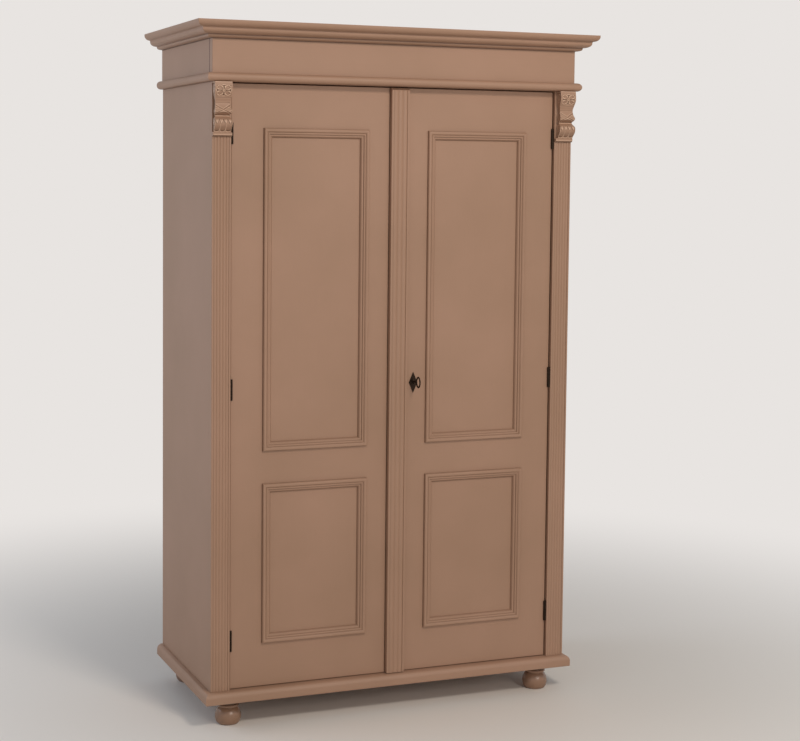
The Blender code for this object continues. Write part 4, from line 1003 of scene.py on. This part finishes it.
def side_carving(back, up, depth):
    """Height of a carved side; back is measured in from the face, and depth is the side's own."""
    if up < SIDE_CARVED[0] or up > SIDE_CARVED[1]:
        return 0.0
    for middle, size in SCROLLS:
        if math.hypot(back - depth * SCROLL_BACK, up - middle) < size:
            return scroll(back - depth * SCROLL_BACK, up - middle, size)
    rib = 0.5 + 0.5 * math.cos(math.tau * (back + SIDE_RIB_LEAN * abs(up - SIDE_RIB_BEND)) / SIDE_RIB_PITCH)
    inside = smooth_step(back, SIDE_BORDER, SIDE_BORDER + SIDE_BORDER_SLOPE)
    return (SIDE_RIB_HEIGHT * rib - SIDE_DEEP) * inside


# %% Wrap the grid, carve it, and mark the cuts
FACE_COLUMNS = 84
SIDE_COLUMNS = 34
CORBEL_ROWS = 250
EDGE_ROUND = 1.1
EDGE_KEPT = (0.2, 1.6)            # a cut fades out between these distances from an edge


def corbel_point(across, down, box, side):
    """Where a grid point goes, and how deep its cut is; across runs from one back edge to the other."""
    low, high = box
    up = (1 - down) * (high.z - low.z)
    reach, wide = outline_at(down)
    reach *= CORBEL_REACH
    half = wide * (high.x - low.x - CORBEL_INNER_INSET - CORBEL_OUTER_INSET) / 2
    middle_x = (low.x + high.x + side * (CORBEL_INNER_INSET - CORBEL_OUTER_INSET)) / 2
    in_cap = up < CAP_HEIGHT
    if in_cap:
        top = max(0.0, CAP_ROUND - (CAP_HEIGHT - up))
        rounded = CAP_ROUND - math.sqrt(max(0.0, CAP_ROUND**2 - top**2))
        reach = CAP_REACH - max(0.0, CAP_BEVEL - up) - rounded
        half = (high.x - low.x) / 2 - rounded
        middle_x = (low.x + high.x) / 2
        shade = CAP_SHADE * (1 - smooth_step(up, CAP_SHADE_SHARE * CAP_BEVEL, CAP_BEVEL))
    sides = SIDE_COLUMNS / (FACE_COLUMNS + 2 * SIDE_COLUMNS)
    if sides <= across <= 1 - sides:
        x = ((across - sides) / (1 - 2 * sides) * 2 - 1) * half
        inward = (half - abs(x)) / MM
        cut = 0.0 if in_cap else face_carving(x / MM, up / MM, half / MM) * smooth_step(inward, *EDGE_KEPT)
        rounding = 0.0 if in_cap else EDGE_ROUND * (1 - ridge(max(0.0, EDGE_ROUND - inward), EDGE_ROUND))
        place = Vector((middle_x + x, high.y - reach - (cut - rounding) * MM, low.z + up))
        return place, shade if in_cap else cut
    near = across < sides
    back = across / sides if near else (1 - across) / sides
    inward = (1 - back) * reach / MM
    cut = 0.0 if in_cap else side_carving(inward, up / MM, reach / MM) * smooth_step(inward, *EDGE_KEPT)
    cut *= 1.0 if near == (side < 0) else INNER_SHARE
    rounding = 0.0 if in_cap else EDGE_ROUND * (1 - ridge(max(0.0, EDGE_ROUND - inward), EDGE_ROUND))
    width = half + (cut - rounding) * MM
    return Vector((middle_x + (-width if near else width), high.y - back * reach, low.z + up)), cut


MARK_REACH = 4                    # grid steps, about 2.4 mm, around a vertex that its height is compared with
HOLLOW_UNDER = (0.10, 0.75)       # millimetres under these where the painted shade starts, and where it is full
CREST_OVER = (0.06, 0.42)         # and over them where the painted highlight starts, and where it is full
CARVING_SHADE_STRENGTH = 0.70            # both set by trial against the photograph's carving
CARVING_HIGHLIGHT_STRENGTH = 0.72


def mark_carving(mesh, cuts, columns):
    """Store at each vertex how hollow it is, as painted shade, and how much of a crest, as painted highlight,
    from its height and those around it.
    """
    heights = np.array(cuts).reshape(-1, columns)
    around = heights.copy()
    for axis in (0, 1):
        around = sum(np.roll(around, step, axis) for step in range(-MARK_REACH, MARK_REACH + 1))
        around /= 2 * MARK_REACH + 1
    over = (heights - around).ravel()
    for name, limits, values, strength in (("hollow", HOLLOW_UNDER, -over, CARVING_SHADE_STRENGTH),
                                           ("crest", CREST_OVER, over, CARVING_HIGHLIGHT_STRENGTH)):
        marks = [strength * smooth_step(value, *limits) for value in values]
        mesh.attributes.new(name, "FLOAT", "POINT").data.foreach_set("value", marks)


GRID_HALF = 0.5
for side_name, side in (("left", -1), ("right", 1)):
    node = f"corbel_{side_name}"
    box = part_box(node)
    shape = bmesh.new()
    columns = FACE_COLUMNS + 2 * SIDE_COLUMNS
    bmesh.ops.create_grid(shape, x_segments=columns, y_segments=CORBEL_ROWS, size=GRID_HALF)
    cuts = []
    for v in shape.verts:
        v.co, cut = corbel_point(v.co.x + GRID_HALF, GRID_HALF - v.co.y, box, side)
        cuts.append(cut)
    for edge_z in (box[0].z, box[1].z):
        rim = [e for e in shape.edges
               if e.is_boundary and all(abs(v.co.z - edge_z) < ON_PLANE for v in e.verts)]
        ends = [v for e in rim for v in e.verts if abs(v.co.y - box[1].y) < ON_PLANE]
        ends = sorted(set(ends), key=lambda v: v.co.x)
        rim.append(shape.edges.new((ends[0], ends[-1])))
        bmesh.ops.contextual_create(shape, geom=rim)
    bmesh.ops.holes_fill(shape, edges=[e for e in shape.edges if e.is_boundary], sides=0)
    carved = dress(f"{node}_carved", shape, node)
    mark_carving(carved.data, cuts, columns + 1)

# %% [markdown]
# ## Escutcheon and key
# The plate is a thin iron lozenge with filed edges. Two small pins are taken to hold it, and the key
# stands in it with its ring edge on. Round parts are spun: the shank and its collar from one outline
# about the key's axis, and the ring from a small circle swung round the bow's middle. The bit at the
# key's far end is hidden in the lock, so its size is a guess.

# %% File the plate and drive its pins
PLATE_FILED = 0.5 * MM
PLATE_STEPS = 2
PIN_RADIUS = 1.3 * MM
PIN_SUNK = 0.2 * MM               # how far a head's middle lies behind the plate's front
PIN_FLATNESS = 0.5
PIN_FROM_TIP = 10 * MM
shape = board_copy("escutcheon")
low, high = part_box("escutcheon")
bevel(shape, [e for e in shape.edges if on_planes(e, ["y-"], (low, high))], PLATE_FILED, PLATE_STEPS)
middle = (low + high) / 2
for z in (low.z + PIN_FROM_TIP, high.z - PIN_FROM_TIP):
    pin = bmesh.new()
    bmesh.ops.create_uvsphere(pin, u_segments=16, v_segments=8, radius=PIN_RADIUS,
                              matrix=Matrix.Translation((middle.x, low.y + PIN_SUNK, z))
                              @ Matrix.Diagonal((1, PIN_FLATNESS, 1, 1)))
    joined(shape, pin)
dress("escutcheon_filed", shape, "escutcheon")

# %% Turn the key and swing its ring
BOW_LENGTH = 28 * MM
BOW_HEIGHT = 33 * MM
BOW_TUBE = 2.1 * MM
BOW_FROM_PLATE = 22.5 * MM
BIT_HALF_THICKNESS = 1.0 * MM
BIT_DROP = 8.2 * MM               # from the key's axis down to the bit's lower edge
BIT_FROM_END = (1.0 * MM, 6.5 * MM)   # from the key's inner end to the bit's two sides
# (distance out from the axis, distance in front of the plate), in millimetres
KEY_OUTLINE = ((0.0, 25.5), (2.2, 25.4), (2.6, 24.5), (2.6, 21.5), (3.3, 21.0), (3.6, 20.2), (3.3, 19.4),
               (2.6, 18.9), (2.6, 5.4), (3.6, 5.2), (4.3, 4.8), (4.6, 4.0), (4.6, 1.0), (4.3, 0.5),
               (2.6, 0.3), (2.6, -16.0), (2.2, -16.4), (0.0, -16.4))
plate_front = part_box("escutcheon")[0].y
key_low, key_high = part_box("key")
axis_x, axis_z = (key_low.x + key_high.x) / 2, (key_low.z + key_high.z) / 2
bow_back = plate_front - BOW_FROM_PLATE
bow_centre = bow_back - BOW_LENGTH / 2
shape = bmesh.new()
outline = [shape.verts.new((axis_x + out * MM, plate_front - front * MM, axis_z))
           for out, front in KEY_OUTLINE]
edges = [shape.edges.new(pair) for pair in zip(outline, outline[1:])]
bmesh.ops.spin(shape, geom=outline + edges, cent=(axis_x, plate_front, axis_z), axis=(0, 1, 0),
               dvec=(0, 0, 0), angle=math.tau, steps=28, use_merge=True)
bmesh.ops.remove_doubles(shape, verts=shape.verts, dist=WELD)
ring = bmesh.new()
bmesh.ops.create_circle(ring, cap_ends=False, segments=14, radius=BOW_TUBE,
                        matrix=Matrix.Translation((0, BOW_LENGTH / 2 - BOW_TUBE, 0)))
bmesh.ops.spin(ring, geom=list(ring.verts) + list(ring.edges), cent=(0, 0, 0), axis=(1, 0, 0),
               dvec=(0, 0, 0), angle=math.tau, steps=48, use_merge=True)
bmesh.ops.scale(ring, vec=(1, 1, BOW_HEIGHT / BOW_LENGTH), verts=ring.verts)
bmesh.ops.translate(ring, vec=(axis_x, bow_centre, axis_z), verts=ring.verts)
joined(shape, ring)
bit = cube_between(Vector((axis_x - BIT_HALF_THICKNESS, key_high.y - BIT_FROM_END[1], axis_z - BIT_DROP)),
                   Vector((axis_x + BIT_HALF_THICKNESS, key_high.y - BIT_FROM_END[0], axis_z)))
joined(shape, bit)
dress("key_turned", shape, "key")

# %% [markdown]
# ## Stage, light and camera
# The stage is a plain pale floor that fades into the backdrop. Three soft panels light the piece: a
# small warm one high in front, which draws the shadows, a larger one behind it that is nearly
# level, and a cool one on the left. A pale world fills the rest. Their places and power were found
# by trial, until the tones of the render came near the photograph's from this one side. The camera
# stands where the model's straight edges fall best on the photograph's: left of the middle and
# 1.53 m up. The picture's middle isn't on the lens's axis, so the lens is shifted a little.

# %% Lay the floor and the backdrop
FLOOR_COLOUR = "#E8E4DE"
FLOOR_ROUGHNESS = 0.7
BACKDROP_COLOUR = "#E8E4E1"
FADE_FROM, FADE_TO = 0.6, 3.0     # metres from the middle, between which the floor turns into the backdrop


def straight_rays(tree):
    """1 for rays from the camera and those by way of a shiny or clear surface, and 0 for the others."""
    rays = add_node(tree, "ShaderNodeLightPath").outputs
    shiny = add_node(tree, "ShaderNodeMath", links={0: rays["Is Glossy Ray"], 1: rays["Is Transmission Ray"]},
                     operation="MAXIMUM")
    return add_node(tree, "ShaderNodeMath", links={0: rays["Is Camera Ray"], 1: shiny.outputs[0]},
                    operation="MAXIMUM").outputs[0]


floor_material = bpy.data.materials.new("pale_floor")
floor_material.use_nodes = True
tree = floor_material.node_tree
shader = tree.nodes["Principled BSDF"]
shader.inputs["Base Color"].default_value = linear(FLOOR_COLOUR)
shader.inputs["Roughness"].default_value = FLOOR_ROUGHNESS
place = add_node(tree, "ShaderNodeTexCoord").outputs["Object"]
distance = add_node(tree, "ShaderNodeVectorMath", links={0: place}, operation="LENGTH")
fade = add_node(tree, "ShaderNodeMapRange", {"From Min": FADE_FROM, "From Max": FADE_TO},
                {"Value": distance.outputs["Value"]}, interpolation_type="SMOOTHSTEP")
far = add_node(tree, "ShaderNodeEmission", {"Color": linear(BACKDROP_COLOUR), "Strength": 1.0})
seen_fade = add_node(tree, "ShaderNodeMath", links={0: fade.outputs[0], 1: straight_rays(tree)},
                     operation="MULTIPLY")
blend = add_node(tree, "ShaderNodeMixShader",
                 links={0: seen_fade.outputs[0], 1: shader.outputs[0], 2: far.outputs[0]})
tree.links.new(blend.outputs[0], tree.nodes["Material Output"].inputs["Surface"])
shape = bmesh.new()
bmesh.ops.create_circle(shape, cap_ends=True, segments=96, radius=40.0)
mesh = bpy.data.meshes.new("floor")
shape.to_mesh(mesh)
shape.free()
mesh.materials.append(floor_material)
floor = bpy.data.objects.new("floor", mesh)
bpy.context.scene.collection.objects.link(floor)
floor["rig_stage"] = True

# %% Light it
SKY_COLOUR = "#EDF0F4"
SKY_STRENGTH = 0.38
world = bpy.data.worlds.new("pale_backdrop")
bpy.context.scene.world = world
world.use_nodes = True
tree = world.node_tree
seen = tree.nodes["Background"]
seen.inputs["Color"].default_value = linear(BACKDROP_COLOUR)
sky = add_node(tree, "ShaderNodeBackground", {"Color": linear(SKY_COLOUR), "Strength": SKY_STRENGTH})
choose = add_node(tree, "ShaderNodeMixShader",
                  links={0: straight_rays(tree), 1: sky.outputs[0], 2: seen.outputs[0]})
tree.links.new(choose.outputs[0], tree.nodes["World Output"].inputs["Surface"])


def soft_panel(name, place, target, size, power, colour):
    """A rectangular lamp that looks at a point; metres and watts."""
    lamp = bpy.data.lights.new(name, "AREA")
    lamp.shape = "RECTANGLE"
    lamp.size, lamp.size_y = size
    lamp.energy = power
    lamp.color = linear(colour)[:3]
    holder = bpy.data.objects.new(name, lamp)
    holder.location = place
    holder.rotation_euler = (Vector(target) - Vector(place)).to_track_quat("-Z", "Y").to_euler()
    bpy.context.scene.collection.objects.link(holder)


soft_panel("front_panel", place=(0.45, -3.6, 3.7), target=(0.1, -1.0, 1.3), size=(0.8, 0.6), power=64.0,
           colour="#FFF3E6")
soft_panel("level_panel", place=(0.9, -4.9, 2.1), target=(0.0, 0.0, 1.7), size=(2.0, 1.2), power=46.0,
           colour="#FFF6EC")
soft_panel("left_panel", place=(-2.7, 0.9, 1.75), target=(-0.5, 0.0, 1.45), size=(1.5, 1.3), power=20.6,
           colour="#E4EEFF")

# %% Stand the camera where the fit puts it
FOCAL_PIXELS = 1666.33
SENSOR_WIDTH = 36.0               # millimetres, of a plain full-frame camera
IMAGE = (800, 741)
MIDDLE_PIXEL = (360.44, 290.14)   # the picture's point on the lens's axis
CAMERA_PLACE = Vector((-1.8158, -4.55375, 1.5341))
YAW, PITCH, ROLL = (math.radians(a) for a in (-21.48, -4.01, 0.50))
lens = bpy.data.cameras.new("camera")
camera = bpy.data.objects.new("camera", lens)
bpy.context.scene.collection.objects.link(camera)
lens.sensor_width = SENSOR_WIDTH
lens.lens = lens.sensor_width * FOCAL_PIXELS / IMAGE[0]
lens.shift_x = (IMAGE[0] / 2 - MIDDLE_PIXEL[0]) / IMAGE[0]
lens.shift_y = (MIDDLE_PIXEL[1] - IMAGE[1] / 2) / IMAGE[0]
forward = Vector((-math.sin(YAW) * math.cos(PITCH), math.cos(YAW) * math.cos(PITCH), math.sin(PITCH)))
right = forward.cross(Vector((0, 0, 1))).normalized()
up = right.cross(forward)
turned_right = right * math.cos(ROLL) + up * math.sin(ROLL)
turned_up = up * math.cos(ROLL) - right * math.sin(ROLL)
camera.matrix_world = Matrix.Translation(CAMERA_PLACE) @ Matrix(
    (turned_right, turned_up, -forward)).transposed().to_4x4()
bpy.context.scene.camera = camera
bpy.context.scene.view_settings.view_transform = "Standard"
print("lens", round(lens.lens, 2), "mm, shift", round(lens.shift_x, 4), round(lens.shift_y, 4))

# %% Measure the visual box and print it
low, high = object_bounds()
print("visual box", [round(b - a, 4) for a, b in zip(low, high)])
